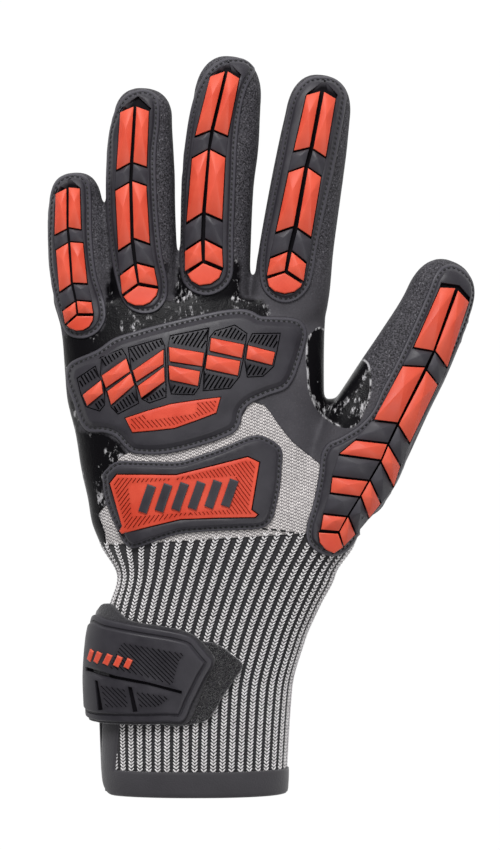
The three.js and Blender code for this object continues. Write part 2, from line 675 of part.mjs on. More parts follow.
fingerNames.forEach((name) => {
  const { frame, point } = guardOf(name);
  const layers = blockLayers((from, to) => fingerLayer(name, from, to));
  const flange = rolledPrism(mirroredOutline(guardOutline, point, 1, 1), frame)
    .intersect(fingerLayer(name, 0, flangeThickness));
  const ridge = rolledPrism(mirroredOutline(guardOutline, point, ridgeWidthShare, ridgeLengthShare), frame)
    .intersect(fingerLayer(name, 0, guardHeight));
  const pairs = Object.entries(blockRows).map(([pair, row]) =>
    ({ pair, outline: pairOutline(row, point), groove: grooveOutline(row, point) }));
  const pockets = pocketOf(pairs.map(({ outline }) => outline), frame, layers.pocket);
  part(`${name}_guard`, 'guard', flange.add(ridge).subtract(pockets));
  pairs.forEach(({ pair, outline, groove }) =>
    part(`${name}_inlay_${pair}`, 'inlay', inlayOf(outline, groove, frame, layers)));
});

// Thumb guard over the thumb and the ball of the hand.
const upright = new THREE.Matrix4().setPosition(0, 0, (palmDepth * 0.3));
function grooveAt(along) {
  const next = Math.max(thumbGuardRows.findIndex((row) => row.along < along), 1);
  const to = thumbGuardRows[next];
  const from = thumbGuardRows[next - 1];
  const share = (along - from.along) / (to.along - from.along);
  return THREE.MathUtils.lerp(from.groove, to.groove, share);
}
function besideGroove(along, offset) {
  return planPoint([grooveAt(along) + offset, along]);
}
const thumbOutline = [
  ...thumbGuardRows.map((row) => planPoint([row.left, row.along])),
  ...thumbGuardRows.map((row) => planPoint([row.right, row.along])).reverse(),
];
const thumbLayers = blockLayers((from, to) => fingerLayer('thumb', from, to));
const thumbPairs = thumbBlockRows.map((row) => ({
  outline: [
    besideGroove(row.innerStart, 0),
    besideGroove(row.leftStart, -row.leftReach),
    besideGroove(row.leftEnd, -row.leftReach),
    besideGroove(row.innerEnd, 0),
    besideGroove(row.rightEnd, row.rightReach),
    besideGroove(row.rightStart, row.rightReach),
  ],
  groove: [
    besideGroove(row.innerStart + thumbGroove, -thumbGroove),
    besideGroove(row.innerEnd - thumbGroove, -thumbGroove),
    besideGroove(row.innerEnd - thumbGroove, thumbGroove),
    besideGroove(row.innerStart + thumbGroove, thumbGroove),
  ],
}));
const thumbGuard = rolledPrism(thumbOutline, upright)
  .intersect(fingerLayer('thumb', 0, flangeThickness))
  .add(rolledPrism(grown(thumbOutline, -thumbRidgeInset), upright)
    .intersect(fingerLayer('thumb', 0, guardHeight)))
  .subtract(pocketOf(thumbPairs.map(({ outline }) => outline), upright, thumbLayers.pocket));
part('thumb_guard', 'guard', thumbGuard);
thumbPairs.forEach(({ outline, groove }, i) =>
  part(`thumb_inlay_${i + 1}`, 'inlay', inlayOf(outline, groove, upright, thumbLayers)));

// Strap: loops sewn on the cuff, and a band with its moulded guard that bulges round the wrist.
const loopPatch = layer(0, loopThickness).intersect(prism(outlines.loopPatch.map(planPoint), palmDepth / 2));
const bandRise = loopThickness + 2 * clearance;
function strapForm(height) {
  return body((angle) => {
    const side = Math.max(-Math.cos(angle), 0);
    const below = Math.max(-Math.sin(angle), 0);
    const lift = bandRise + strapBulge * side * side - (bandRise + strapBulge) * Math.min(below * 2.2, 1);
    return clearance + Math.max(lift, tapeInset) + height;
  });
}
const bandSolid = strapForm(bandThickness)
  .subtract(strapForm(0))
  .intersect(prism(outlines.strapBand.map(planPoint), strapEndHeight - tapeWidth / 2));
const strapSolid = strapForm(bandThickness + clearance + strapGuardHeight)
  .subtract(strapForm(bandThickness + clearance))
  .intersect(prism(outlines.strapGuard.map(planPoint), strapEndHeight));
part('loop_patch', 'loops', loopPatch);
part('strap_band', 'band', bandSolid);
part('strap_guard', 'guard', strapSolid);

const glove = new THREE.Group();
glove.name = 'impact_glove';
parts.forEach(({ name, material, solid }) => {
  const mesh = new THREE.Mesh(geometryOf(solid), new THREE.MeshStandardMaterial(materials[material]));
  mesh.name = name;
  glove.add(mesh);
});

// The origin lies under the middle of the glove, on the surface that it rests on.
const box = new THREE.Box3().setFromObject(glove);
const centre = box.getCenter(new THREE.Vector3());
glove.position.set(-centre.x, -centre.y, -box.min.z);

export default glove;
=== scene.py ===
import math

import bmesh
import bpy
import numpy as np
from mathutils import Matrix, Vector
from mathutils.bvhtree import BVHTree
from mathutils.geometry import delaunay_2d_cdt


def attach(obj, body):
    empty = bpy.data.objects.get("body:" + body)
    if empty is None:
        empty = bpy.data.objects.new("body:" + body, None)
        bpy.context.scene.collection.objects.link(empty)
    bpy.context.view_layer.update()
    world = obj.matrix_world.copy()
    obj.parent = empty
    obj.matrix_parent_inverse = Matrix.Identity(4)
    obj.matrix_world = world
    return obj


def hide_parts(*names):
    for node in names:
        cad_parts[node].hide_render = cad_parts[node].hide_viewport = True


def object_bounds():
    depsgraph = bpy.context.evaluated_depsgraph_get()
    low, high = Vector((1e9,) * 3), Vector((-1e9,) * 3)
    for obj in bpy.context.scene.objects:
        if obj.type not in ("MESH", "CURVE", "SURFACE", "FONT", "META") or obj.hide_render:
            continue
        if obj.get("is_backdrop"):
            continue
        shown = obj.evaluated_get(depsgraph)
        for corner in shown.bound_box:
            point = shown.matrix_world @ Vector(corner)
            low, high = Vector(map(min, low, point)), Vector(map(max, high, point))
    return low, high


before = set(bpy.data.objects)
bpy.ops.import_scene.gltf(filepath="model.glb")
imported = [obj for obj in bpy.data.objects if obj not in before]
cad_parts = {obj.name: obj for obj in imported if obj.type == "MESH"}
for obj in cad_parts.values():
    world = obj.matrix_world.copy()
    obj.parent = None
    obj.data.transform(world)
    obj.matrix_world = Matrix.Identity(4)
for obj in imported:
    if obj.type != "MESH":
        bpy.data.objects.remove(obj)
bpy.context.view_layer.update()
bpy.ops.object.select_all(action="DESELECT")

# Coated shell: one seamless knitted liner from wrist to fingertips, dipped in dark nitrile that
# dries sandy on the fingers and glossy between the guards. It is lofted over a hand from squared
# oval sections, blended where the fingers leave the palm, and hollow. Tables are in millimetres:
# place along the glove, place across it, half width and half depth of each section.
hand_sections = [
    (44.9, -26.4, 49.5, 12.8), (34, -25.2, 47.5, 14.4), (23.1, -24.8, 46.8, 15.9),
    (10.6, -24.3, 46.3, 17), (-5.6, -22.1, 44.8, 17.8), (-21.8, -19.2, 44.8, 18.3),
    (-32.7, -13.3, 48.7, 18.5), (-43.3, -12.7, 45.5, 18.5), (-54.2, -13.1, 39.1, 18.5),
    (-65.1, -17.2, 37.8, 18.5), (-77.6, -21.4, 36.5, 18.5), (-95.6, -24.2, 34.5, 18.5),
    (-132.8, -24.6, 32.6, 18.5),
]
finger_sections = {
    "little": [
        (26.6, -60.5, 6, 10.6), (31.9, -61.5, 7, 11.2), (44.9, -64.7, 10.4, 11.8),
        (64.6, -66, 11, 10.6), (77.1, -67.3, 10, 9.9), (81.9, -67.8, 8.8, 9.5),
    ],
    "ring": [
        (26.6, -42.9, 10, 12.7), (31.9, -42.9, 10.8, 12.7), (44.9, -42.7, 11.5, 12.5),
        (64.6, -43.5, 11.9, 11.5), (86.1, -44.3, 12.3, 11), (101, -44.1, 11.5, 10.3),
        (110.3, -43.5, 10.4, 9.9),
    ],
    "middle": [
        (26.6, -18.7, 11.2, 12.9), (31.9, -18.5, 11.8, 12.9), (44.9, -17.6, 12.5, 12.7),
        (64.6, -16.7, 12.2, 12), (86.1, -16, 12.5, 11.5), (101, -14.7, 13, 10.8),
        (116.9, -12.9, 12, 10.2),
    ],
    "index": [
        (26.6, 3.5, 9, 11.8), (31.9, 5.7, 10, 11.8), (44.9, 9.8, 13.7, 12.7), (64.6, 12.4, 13.2, 12),
        (86.1, 15.8, 12.7, 11.5), (101, 18.3, 12.2, 10.8), (111.6, 20, 11.5, 10.3),
    ],
    "thumb": [
        (-45.2, 16.5, 8, 14.1), (-40.4, 19.5, 11, 15.3), (-36.1, 22.8, 13.3, 16),
        (-31.9, 25.7, 14.7, 16.4), (-23.9, 28.7, 15.6, 16.6), (-5.6, 37.1, 16.4, 16.2),
        (10.6, 45.9, 15.3, 14.7), (26.6, 55.1, 14, 12.9), (38.3, 61, 12.6, 11.8),
        (43.9, 63.3, 11.9, 11.2),
    ],
}
tip_lengths = {"little": 9.7, "ring": 12, "middle": 17.1, "index": 15.6, "thumb": 16.4}
web_sections = [(-15.9, 23.5, 9, 14.1), (-5.6, 25.7, 7.8, 12.3), (7.2, 26.1, 5, 10.1)]
FLOOR_SINK = 1
CUFF_TOP = -43.3


def flowing(places, values, wanted):
    """Smooth curve through a table, without bulges between its rows."""
    steps = np.diff(places)
    slopes = np.diff(values) / steps
    tangents = np.concatenate([slopes[:1], np.zeros(len(slopes) - 1), slopes[-1:]])
    same = slopes[:-1] * slopes[1:] > 0
    safe = np.where(same, slopes[:-1] * slopes[1:], 1)
    mean = 2 * safe / np.where(same, slopes[:-1] + slopes[1:], 1)
    tangents[1:-1] = np.where(same, mean, 0)
    i = np.clip(np.searchsorted(places, wanted, side="right") - 1, 0, len(steps) - 1)
    t = (wanted - places[i]) / steps[i]
    return (
        values[i] * (1 + 2 * t) * (1 - t) ** 2 + tangents[i] * steps[i] * t * (1 - t) ** 2
        + values[i + 1] * t ** 2 * (3 - 2 * t) + tangents[i + 1] * steps[i] * t ** 2 * (t - 1)
    )


def sections_of(table, tip=0, step=2.0):
    """Centres, directions to the right, half widths and half depths all along a form."""
    table = np.array(sorted(table))
    y = np.linspace(table[0, 0], table[-1, 0], int((table[-1, 0] - table[0, 0]) / step) + 2)
    x, half, deep = (flowing(table[:, 0], table[:, i], y) for i in (1, 2, 3))
    ahead = np.stack([np.gradient(x, y), np.ones_like(y)], 1)
    ahead /= np.linalg.norm(ahead, axis=1)[:, None]
    if not tip:
        ahead[:] = (0, 1)
    centres = np.stack([x, y], 1)
    if tip:
        reach = np.sin(np.linspace(0, 1, 14)[1:] * math.pi / 2)
        narrow = np.maximum(1 - reach ** 2.3, 0.0004) ** (1 / 2.3)
        centres = np.vstack([centres, centres[-1] + reach[:, None] * tip * ahead[-1]])
        ahead = np.vstack([ahead, np.tile(ahead[-1], (len(reach), 1))])
        half = np.concatenate([half, half[-1] * narrow])
        deep = np.concatenate([deep, deep[-1] * narrow ** 0.5])
    return centres, np.stack([ahead[:, 1], -ahead[:, 0]], 1), half, deep


def squared_oval(angles, power=2.25):
    c, s = np.cos(angles), np.sin(angles)
    return np.sign(c) * np.abs(c) ** (2 / power), np.sign(s) * np.abs(s) ** (2 / power)


def hull_of(table, tip=0, sides=72):
    """Rings of points round a form that lies on the floor, squarer where a finger guard sits."""
    centres, right, half, deep = sections_of(table, tip)
    angles = np.linspace(0, 2 * math.pi, sides, endpoint=False)
    under_guard = (np.cos(angles) < 0) & (np.sin(angles) > 0) & (tip > 0)
    c, s = squared_oval(angles, np.where(under_guard, 3.8, 2.25))
    plan = centres[:, None, :] + right[:, None, :] * (half[:, None] * c)[:, :, None]
    height = deep[:, None] * (1 + s) - FLOOR_SINK
    return np.dstack([plan, np.maximum(height, 0)])


def mesh_of(name, points, faces):
    mesh = bpy.data.meshes.new(name)
    mesh.from_pydata((np.asarray(points) * 0.001).tolist(), [], faces)
    mesh.validate()
    mesh.update()
    piece = bpy.data.objects.new(name, mesh)
    bpy.context.collection.objects.link(piece)
    return piece


def tube_faces(ring_count, sides, capped=True):
    faces = []
    for r in range(ring_count - 1):
        for i in range(sides):
            n = (i + 1) % sides
            faces.append((r * sides + i, r * sides + n, (r + 1) * sides + n, (r + 1) * sides + i))
    if capped:
        faces.append(tuple(reversed(range(sides))))
        faces.append(tuple(range((ring_count - 1) * sides, ring_count * sides)))
    return faces


def apply_modifier(piece, kind, **settings):
    modifier = piece.modifiers.new(kind.lower(), kind)
    for key, value in settings.items():
        setattr(modifier, key, value)
    bpy.context.view_layer.objects.active = piece
    bpy.ops.object.modifier_apply(modifier=modifier.name)


def outward(piece):
    bm = bmesh.new()
    bm.from_mesh(piece.data)
    bmesh.ops.recalc_face_normals(bm, faces=bm.faces)
    bm.to_mesh(piece.data)
    bm.free()


def points_of(mesh, what="co"):
    values = np.empty(len(mesh.vertices) * 3)
    mesh.vertices.foreach_get(what, values)
    return values.reshape(-1, 3)


hulls = [hull_of(hand_sections)]
hulls += [hull_of(table, tip_lengths[name]) for name, table in finger_sections.items()]
hulls.append(hull_of(web_sections, 2.0))
points, faces = [], []
for rings in hulls:
    start = sum(len(p) for p in points)
    faces += [tuple(start + i for i in f) for f in tube_faces(len(rings), rings.shape[1])]
    points.append(rings.reshape(-1, 3))
shell = mesh_of("coated_shell", np.vstack(points), faces)
outward(shell)
apply_modifier(shell, "REMESH", mode="VOXEL", voxel_size=0.00115)
apply_modifier(shell, "SMOOTH", factor=0.5, iterations=9)
apply_modifier(shell, "TRIANGULATE")
# Over this stretch above its cut edge the coat eases in to the hand, and the cuff covers the edge.
EASED = 8
wrist, wrist_at = Vector((0.062, -1, 0)).normalized(), Vector((-59.4, CUFF_TOP, 0))
bare_hand = BVHTree.FromPolygons(
    hulls[0].reshape(-1, 3).tolist(), tube_faces(len(hulls[0]), hulls[0].shape[1]),
)
for vertex in shell.data.vertices:
    place = vertex.co * 1000
    above = (wrist_at - place).dot(wrist)
    if above < EASED:
        drawn_in = 1 - max(above, 0) / EASED
        nearest = bare_hand.find_nearest(place)[0]
        vertex.co = place.lerp(nearest, drawn_in ** 2 * (3 - 2 * drawn_in)) * 0.001
shell.data.update()


class Lay:
    """Lays a flat cut piece on a form: finds the surface under each point and stands off it."""

    def __init__(self, mesh, rounds=24):
        self.points = points_of(mesh) * 1000
        self.faces = np.array([p.vertices[:] for p in mesh.polygons])
        self.tree = BVHTree.FromPolygons(self.points.tolist(), self.faces.tolist())
        normals = points_of(mesh, "normal").copy()
        edges = np.array([e.vertices[:] for e in mesh.edges])
        for _ in range(rounds):
            spread = normals.copy()
            np.add.at(spread, edges[:, 0], normals[edges[:, 1]])
            np.add.at(spread, edges[:, 1], normals[edges[:, 0]])
            normals = spread / np.linalg.norm(spread, axis=1)[:, None]
        self.normals = normals

    def under(self, flat, edge_height, middle):
        """Surface and its normal below each point, or on its own side past the edge of a finger."""
        down = Vector((0, 0, -1))
        hits, found = [], []
        for x, y in flat:
            place, _, face, _ = self.tree.ray_cast(Vector((x, y, 90)), down)
            if (place is None or place.z < 4) and middle is not None:
                start = Vector((np.interp(y, middle[:, 0], middle[:, 1]), y, edge_height))
                place, _, face, _ = self.tree.ray_cast(start, Vector((x - start.x, 0, 0)).normalized())
            if place is None or place.z < 4:
                place, _, face, _ = self.tree.find_nearest(Vector((x, y, edge_height)))
            hits.append(place[:])
            found.append(face)
        hits, corners = np.array(hits), self.faces[found]
        a, b, c = (self.points[corners[:, i]] for i in range(3))
        across = np.cross(b - a, c - a)
        area = np.einsum("ij,ij->i", across, across)[:, None]
        u = np.einsum("ij,ij->i", np.cross(c - b, hits - b), across)[:, None] / area
        v = np.einsum("ij,ij->i", np.cross(a - c, hits - c), across)[:, None] / area
        normal = (
            self.normals[corners[:, 0]] * u + self.normals[corners[:, 1]] * v
            + self.normals[corners[:, 2]] * (1 - u - v)
        )
        return hits, normal / np.linalg.norm(normal, axis=1)[:, None]

    def __call__(self, flat, height, edge_height=12.0, middle=None):
        """Raised points, each straight above its place in the outline as seen from above."""
        flat, height = np.asarray(flat, float), np.asarray(height, float)[:, None]
        shift, reach = np.zeros_like(flat), np.abs(height)
        for _ in range(3):
            hits, normal = self.under(flat + shift, edge_height, middle)
            shift += 0.7 * (flat - (hits + normal * height)[:, :2])
            shift *= reach / np.maximum(np.linalg.norm(shift, axis=1)[:, None], reach + 1e-9)
        hits, normal = self.under(flat + shift, edge_height, middle)
        return hits + normal * height


on_hand = Lay(shell.data)


def inside(points, outline):
    """Which points lie inside a closed outline."""
    p, a = np.asarray(points)[:, None, :], np.asarray(outline)[None]
    b = np.roll(a, -1, axis=1)
    crosses = (a[..., 1] > p[..., 1]) != (b[..., 1] > p[..., 1])
    rise = np.where(b[..., 1] == a[..., 1], 1, b[..., 1] - a[..., 1])
    at = a[..., 0] + (p[..., 1] - a[..., 1]) * (b[..., 0] - a[..., 0]) / rise
    return (crosses & (p[..., 0] < at)).sum(1) % 2 == 1


def distance_in(points, outline):
    """Distance of points from a closed outline, positive inside it."""
    p, a = np.asarray(points)[:, None, :], np.asarray(outline)[None]
    side = np.roll(a, -1, axis=1) - a
    along = ((p - a) * side).sum(2) / np.maximum((side ** 2).sum(2), 1e-9)
    nearest = a + side * np.clip(along, 0, 1)[..., None]
    distance = np.sqrt(((p - nearest) ** 2).sum(2)).min(1)
    return np.where(inside(points, outline), distance, -distance)


def curved(outline, step=1.0):
    """Closed smooth curve through the points of an outline."""
    p = np.array(outline, float)
    result = []
    for i in range(len(p)):
        a, b, c, d = (p[(i + k) % len(p)] for k in (-1, 0, 1, 2))
        ab, bc, cd = (max(np.linalg.norm(q - r), 1e-6) ** 0.5 for q, r in ((b, a), (c, b), (d, c)))
        leave = (b - a) / ab - (c - a) / (ab + bc) + (c - b) / bc
        arrive = (c - b) / bc - (d - b) / (bc + cd) + (d - c) / cd
        leave, arrive = leave * bc, arrive * bc
        for t in np.arange(0, 1, 1 / max(1, round(bc ** 2 / step))):
            result.append(
                b * (1 + 2 * t) * (1 - t) ** 2 + leave * t * (1 - t) ** 2
                + c * t ** 2 * (3 - 2 * t) + arrive * t ** 2 * (t - 1)
            )
    return np.array(result)


# Cut lines of the shell: the bare knit back, the black patch of the thumb crotch, and the
# glossy coat between the guards and down the side of the hand.
back_outline = [
    (-54.3, -27.2), (-58.6, -31.5), (-56.5, -38.7), (-54.3, -48.8), (-4.6, -50.6), (17.7, -48.8),
    (18.1, -43.4), (19.1, -29), (21.7, -16.4), (21.3, -14.9), (15.5, -10.3), (10, -5.6), (4.4, 1.6),
    (0.4, 7), (-3.9, 8.1), (-9.7, -0.2), (-26.2, -6.7), (-44.2, -9.2), (-50.7, -11.3), (-53.6, -16.4),
    (-55.7, -22.1),
]
crotch_outline = [
    (20.9, 35.1), (18.1, 33.6), (16.3, 31.1), (15.5, 25), (15.9, 18.5), (16.4, 12.4), (18.1, 7.7),
    (20.2, 4.5), (23.1, 1.6), (26.7, -0.5), (30.3, -1.3), (33.9, 0.2), (36.1, 4.5), (38.2, 9.5),
    (38.8, 14.2), (38.6, 18.9), (37.5, 22.5), (31.4, 26.1), (26, 31.1),
]
gloss_outlines = [
    [
        (-73, 31.1), (-58.6, 34), (-56.5, 48.4), (-53.9, 58.5), (-35.2, 58.5), (-34.1, 44.8),
        (-31.3, 44.8), (-29.1, 58.5), (-8.9, 58.5), (-8.2, 46.2), (-0.3, 44.8), (1.1, 38.3),
        (-13.6, 38.3), (-37, 32.9), (-53.2, 28.3), (-65.8, 22.5), (-72.3, 18.9),
    ],
    [
        (-73.7, 16), (-70.9, 14.2), (-64.4, -2), (-55.7, -3.4), (-50, -8.1), (-49.3, -12.8),
        (-55.7, -17.1), (-57.2, -27.2), (-54.3, -41.6), (-52.1, -48.8), (-58.6, -48.8), (-65.8, -27.2),
        (-73, 1.6),
    ],
]


def paint(r, g, b):
    """Colour from its three levels of 0 to 255."""
    levels = [level / 255 for level in (r, g, b)]
    return tuple(v / 12.92 if v <= 10 / 255 else ((v + 0.055) / 1.055) ** 2.4 for v in levels) + (1,)


def new_finish(name, roughness=0.6, sheen=0.0):
    finish = bpy.data.materials.new(name)
    finish.use_nodes = True
    shader = finish.node_tree.nodes["Principled BSDF"]
    shader.inputs["Roughness"].default_value = roughness
    shader.inputs["Sheen Weight"].default_value = sheen
    return finish, finish.node_tree, shader


def put(tree, kind, wires=(), out=0, **settings):
    node = tree.nodes.new("ShaderNode" + kind)
    for key, value in settings.items():
        setattr(node, key, value)
    for socket, value in dict(wires).items():
        if isinstance(value, bpy.types.NodeSocket):
            tree.links.new(value, node.inputs[socket])
        else:
            node.inputs[socket].default_value = value
    return node.outputs[out]


def math_node(tree, operation, a, b=0.0, clamp=False):
    return put(tree, "Math", {0: a, 1: b}, operation=operation, use_clamp=clamp)


def noise(tree, scale, detail=3.0, stretch=None, offset=(0, 0, 0), rough=0.5):
    place = put(tree, "TexCoord", out=3)
    place = put(tree, "Mapping", {0: place, "Scale": stretch or (1, 1, 1), "Location": offset})
    return put(tree, "TexNoise", {"Vector": place, "Scale": scale, "Detail": detail, "Roughness": rough})


def fade(tree, value, low, high, to_low=0.0, to_high=1.0):
    ends = {"From Min": low, "From Max": high, "To Min": to_low, "To Max": to_high}
    return put(tree, "MapRange", {"Value": value, **ends})


def blend(tree, share, first, second):
    node = tree.nodes.new("ShaderNodeMix")
    node.data_type = "RGBA"
    for socket, value in ((0, share), (6, first), (7, second)):
        if isinstance(value, bpy.types.NodeSocket):
            tree.links.new(value, node.inputs[socket])
        else:
            node.inputs[socket].default_value = value
    return node.outputs[2]


def coloured(tree, shader, share, first, second):
    tree.links.new(blend(tree, share, first, second), shader.inputs["Base Color"])


def relief(tree, shader, height, depth, strength=1.0):
    bump = put(tree, "Bump", {"Height": height, "Distance": depth, "Strength": strength})
    tree.links.new(bump, shader.inputs["Normal"])


coat, tree, shader = new_finish("dipped_nitrile")
sandy = put(tree, "Attribute", out=2, attribute_name="sandy")
glossy = put(tree, "Attribute", out=2, attribute_name="glossy")
crotch = put(tree, "Attribute", out=2, attribute_name="crotch")
grain = noise(tree, 1800, 2)
specks = noise(tree, 1250, 1, offset=(3, 1, 2))
clouds = noise(tree, 55, 4)
streaks = noise(tree, 620, 5, stretch=(1, 0.4, 0.6), rough=0.7)
smears = noise(tree, 90, 5, offset=(1, 5, 0), rough=0.65)
tone = blend(tree, fade(tree, clouds, 0.3, 0.7), paint(56, 54, 59), paint(76, 74, 79))
sand = blend(tree, fade(tree, grain, 0.4, 0.58), paint(20, 19, 23), paint(72, 70, 76))
sand = blend(tree, fade(tree, specks, 0.62, 0.72), sand, paint(106, 104, 109))
tone = blend(tree, sandy, tone, sand)
patch = fade(tree, math_node(tree, "ADD", crotch, fade(tree, smears, 0, 1, -0.6, 0.6)), -0.12, 0.12)
gloss = math_node(tree, "ADD", glossy, fade(tree, smears, 0.3, 0.7, -0.35, 0.35), clamp=True)
gloss = fade(tree, gloss, 0.35, 0.65)
dark = math_node(tree, "MAXIMUM", gloss, patch)
tone = blend(tree, dark, tone, paint(12, 11, 14))
rim = fade(tree, math_node(tree, "ABSOLUTE", math_node(tree, "SUBTRACT", crotch, 0.25)), 0.55, 0.1)
residue = math_node(tree, "MULTIPLY", fade(tree, streaks, 0.52, 0.6), fade(tree, smears, 0.53, 0.6))
residue = math_node(tree, "MULTIPLY", residue, dark)
rim = math_node(tree, "MULTIPLY", rim, fade(tree, streaks, 0.46, 0.56))
residue = math_node(tree, "MAXIMUM", residue, rim)
residue = math_node(tree, "MULTIPLY", residue, 0.75)
tone = blend(tree, residue, tone, paint(205, 203, 206))
tree.links.new(tone, shader.inputs["Base Color"])
tree.links.new(fade(tree, dark, 0, 1, 0.78, 0.34), shader.inputs["Roughness"])
tree.links.new(fade(tree, dark, 0, 1, 0.4, 0.09), shader.inputs["Specular IOR Level"])
coarse = math_node(tree, "MULTIPLY", grain, fade(tree, sandy, 0, 1, 0.25, 1.0))
lift = math_node(tree, "ADD", coarse, math_node(tree, "MULTIPLY", patch, 1.2))
crazing = math_node(tree, "MULTIPLY", streaks, math_node(tree, "MULTIPLY", dark, 0.9))
relief(tree, shader, math_node(tree, "ADD", lift, crazing), 0.00022, 0.8)

bm = bmesh.new()
bm.from_mesh(shell.data)
everything = bm.verts[:] + bm.edges[:] + bm.faces[:]
bmesh.ops.bisect_plane(bm, geom=everything, plane_co=wrist_at * 0.001, plane_no=wrist, clear_outer=True)
cut = curved(back_outline, 3.0)
for start, end in zip(cut, np.roll(cut, -1, axis=0)):
    middle, reach = (start + end) / 2, np.linalg.norm(end - start) / 2 + 1.8
    near = [
        f for f in bm.faces
        if (c := f.calc_center_median()).z > 0.012
        and abs(c.x * 1000 - middle[0]) < reach and abs(c.y * 1000 - middle[1]) < reach
    ]
    near = list({v for f in near for v in f.verts}) + list({e for f in near for e in f.edges}) + near
    along = Vector((*(end - start), 0))
    bmesh.ops.bisect_plane(
        bm, geom=near, dist=1e-6, plane_co=Vector((*start, 0)) * 0.001,
        plane_no=along.cross(Vector((0, 0, 1))).normalized(),
    )
centres = np.array([f.calc_center_median()[:] for f in bm.faces]) * 1000
bare = inside(centres[:, :2], cut) & (centres[:, 2] > 12)
knit_bm = bm.copy()
for one, gone in ((bm, bare), (knit_bm, ~bare)):
    one.faces.ensure_lookup_table()
    bmesh.ops.delete(one, geom=[one.faces[i] for i in np.nonzero(gone)[0]], context="FACES")
bm.to_mesh(shell.data)
knit_back = bpy.data.objects.new("knit_back", bpy.data.meshes.new("knit_back"))
bpy.context.collection.objects.link(knit_back)
knit_bm.to_mesh(knit_back.data)
bm.free()
knit_bm.free()

apply_modifier(shell, "DISPLACE", strength=0.00025, mid_level=0)
apply_modifier(shell, "SOLIDIFY", thickness=0.0015, offset=-1)
places = points_of(shell.data) * 1000
on_top = places[:, 2] > 7
crotch_in = np.where(on_top, distance_in(places[:, :2], curved(crotch_outline)), -9)
gloss_in = np.max([distance_in(places[:, :2], curved(o)) for o in gloss_outlines], axis=0)
gloss_in = np.where(on_top, gloss_in, -9)
on_thumb_side = places[:, 0] > 34
low_edge, fade_length = np.where(on_thumb_side, 2, 42), np.where(on_thumb_side, 14, 22)
rough_zone = np.clip((places[:, 1] - low_edge) / fade_length, 0.12, 1)
rough_zone = np.where(places[:, 2] > 8, rough_zone, 1)
for name, values in (
    ("sandy", rough_zone), ("glossy", np.clip(gloss_in / 5 + 0.5, 0, 1)), ("crotch", crotch_in),
):
    shell.data.attributes.new(name, "FLOAT", "POINT").data.foreach_set("value", values)
shell.data.shade_smooth()
shell.data.materials.append(coat)
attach(shell, "root")
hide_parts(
    "palm_coat", "little_sleeve", "ring_sleeve", "middle_sleeve", "index_sleeve",
    "thumb_base_sleeve", "thumb_tip_sleeve",
)

# Bare knit back: the light grey cut-resistant liner where the coat stops, a plain knit with its
# small stitches in upright columns. It lies a little lower than the coat round it.
bare_knit, tree, shader = new_finish("plain_knit", 0.92, 0.35)


def knit_columns(tree, column, course, lean):
    """Height of a plain knit seen from above: upright columns of small V stitches."""
    place = put(tree, "TexCoord", out=3)
    wave = noise(tree, 90, 2)
    x = put(tree, "SeparateXYZ", {0: place}, out=0)
    y = put(tree, "SeparateXYZ", {0: place}, out=1)
    x = math_node(tree, "ADD", x, fade(tree, wave, 0, 1, -column * 0.6, column * 0.6))
    across = math_node(tree, "MULTIPLY", x, 1 / column)
    off = math_node(tree, "ABSOLUTE", math_node(tree, "SUBTRACT", math_node(tree, "FRACT", across), 0.5))
    up = math_node(
        tree, "SUBTRACT",
        math_node(tree, "MULTIPLY", y, 1 / course), math_node(tree, "MULTIPLY", off, lean),
    )
    up = math_node(tree, "ADD", up, math_node(tree, "MULTIPLY", math_node(tree, "FLOOR", across), 0.43))
    stitch = math_node(tree, "SINE", math_node(tree, "MULTIPLY", up, 2 * math.pi))
    split = fade(tree, off, 0.0, 0.12)
    gap = fade(tree, off, 0.5, 0.4)
    stitch = fade(tree, stitch, -0.9, 0.4)
    return math_node(tree, "MULTIPLY", math_node(tree, "MULTIPLY", stitch, split), gap)


stitches = knit_columns(tree, 0.0012, 0.00112, 0.7)
mottle = noise(tree, 700, 3, offset=(2, 2, 0))
yarn = blend(tree, fade(tree, mottle, 0.35, 0.65), paint(206, 200, 199), paint(240, 234, 232))
yarn = blend(tree, fade(tree, stitches, 0.0, 0.6), paint(104, 100, 103), yarn)
tree.links.new(yarn, shader.inputs["Base Color"])
relief(tree, shader, stitches, 0.0003, 0.7)
apply_modifier(knit_back, "SOLIDIFY", thickness=0.0012, offset=-1)
knit_back.data.shade_smooth()
knit_back.data.materials.append(bare_knit)
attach(knit_back, "root")
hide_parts("knit_back_panel")

# Ribbed cuff: black ground knit with raised white ribs of V stitches that run up the wrist and
# fan out towards the thumb. It is a tube open at the hem, slit on the little finger side.
HEM = -132.8
RIBS = 50
TAPE_WIDTH = 9.3
VENT_TOP = HEM + 50
wrist_y = np.arange(HEM, CUFF_TOP + 12, 1.0)
wrist_table = np.array(sorted(hand_sections))
wrist_x, wrist_half, wrist_deep = (flowing(wrist_table[:, 0], wrist_table[:, i], wrist_y) for i in (1, 2, 3))
turn = np.linspace(-math.pi, math.pi, 721)
oval_c, oval_s = squared_oval(turn + math.pi)
wrist_rings = np.dstack([
    wrist_x[:, None] + wrist_half[:, None] * oval_c,
    np.repeat(wrist_y[:, None], len(turn), 1),
    np.maximum(wrist_deep[:, None] * (1 + oval_s) - FLOOR_SINK, 1.7),
])
wrist_lengths = np.concatenate([
    np.zeros((len(wrist_y), 1)),
    np.cumsum(np.linalg.norm(np.diff(wrist_rings, axis=1), axis=2), axis=1),
], axis=1)
wrist_share = wrist_lengths / wrist_lengths[:, -1:] - 0.5
girth = wrist_lengths[:, -1]


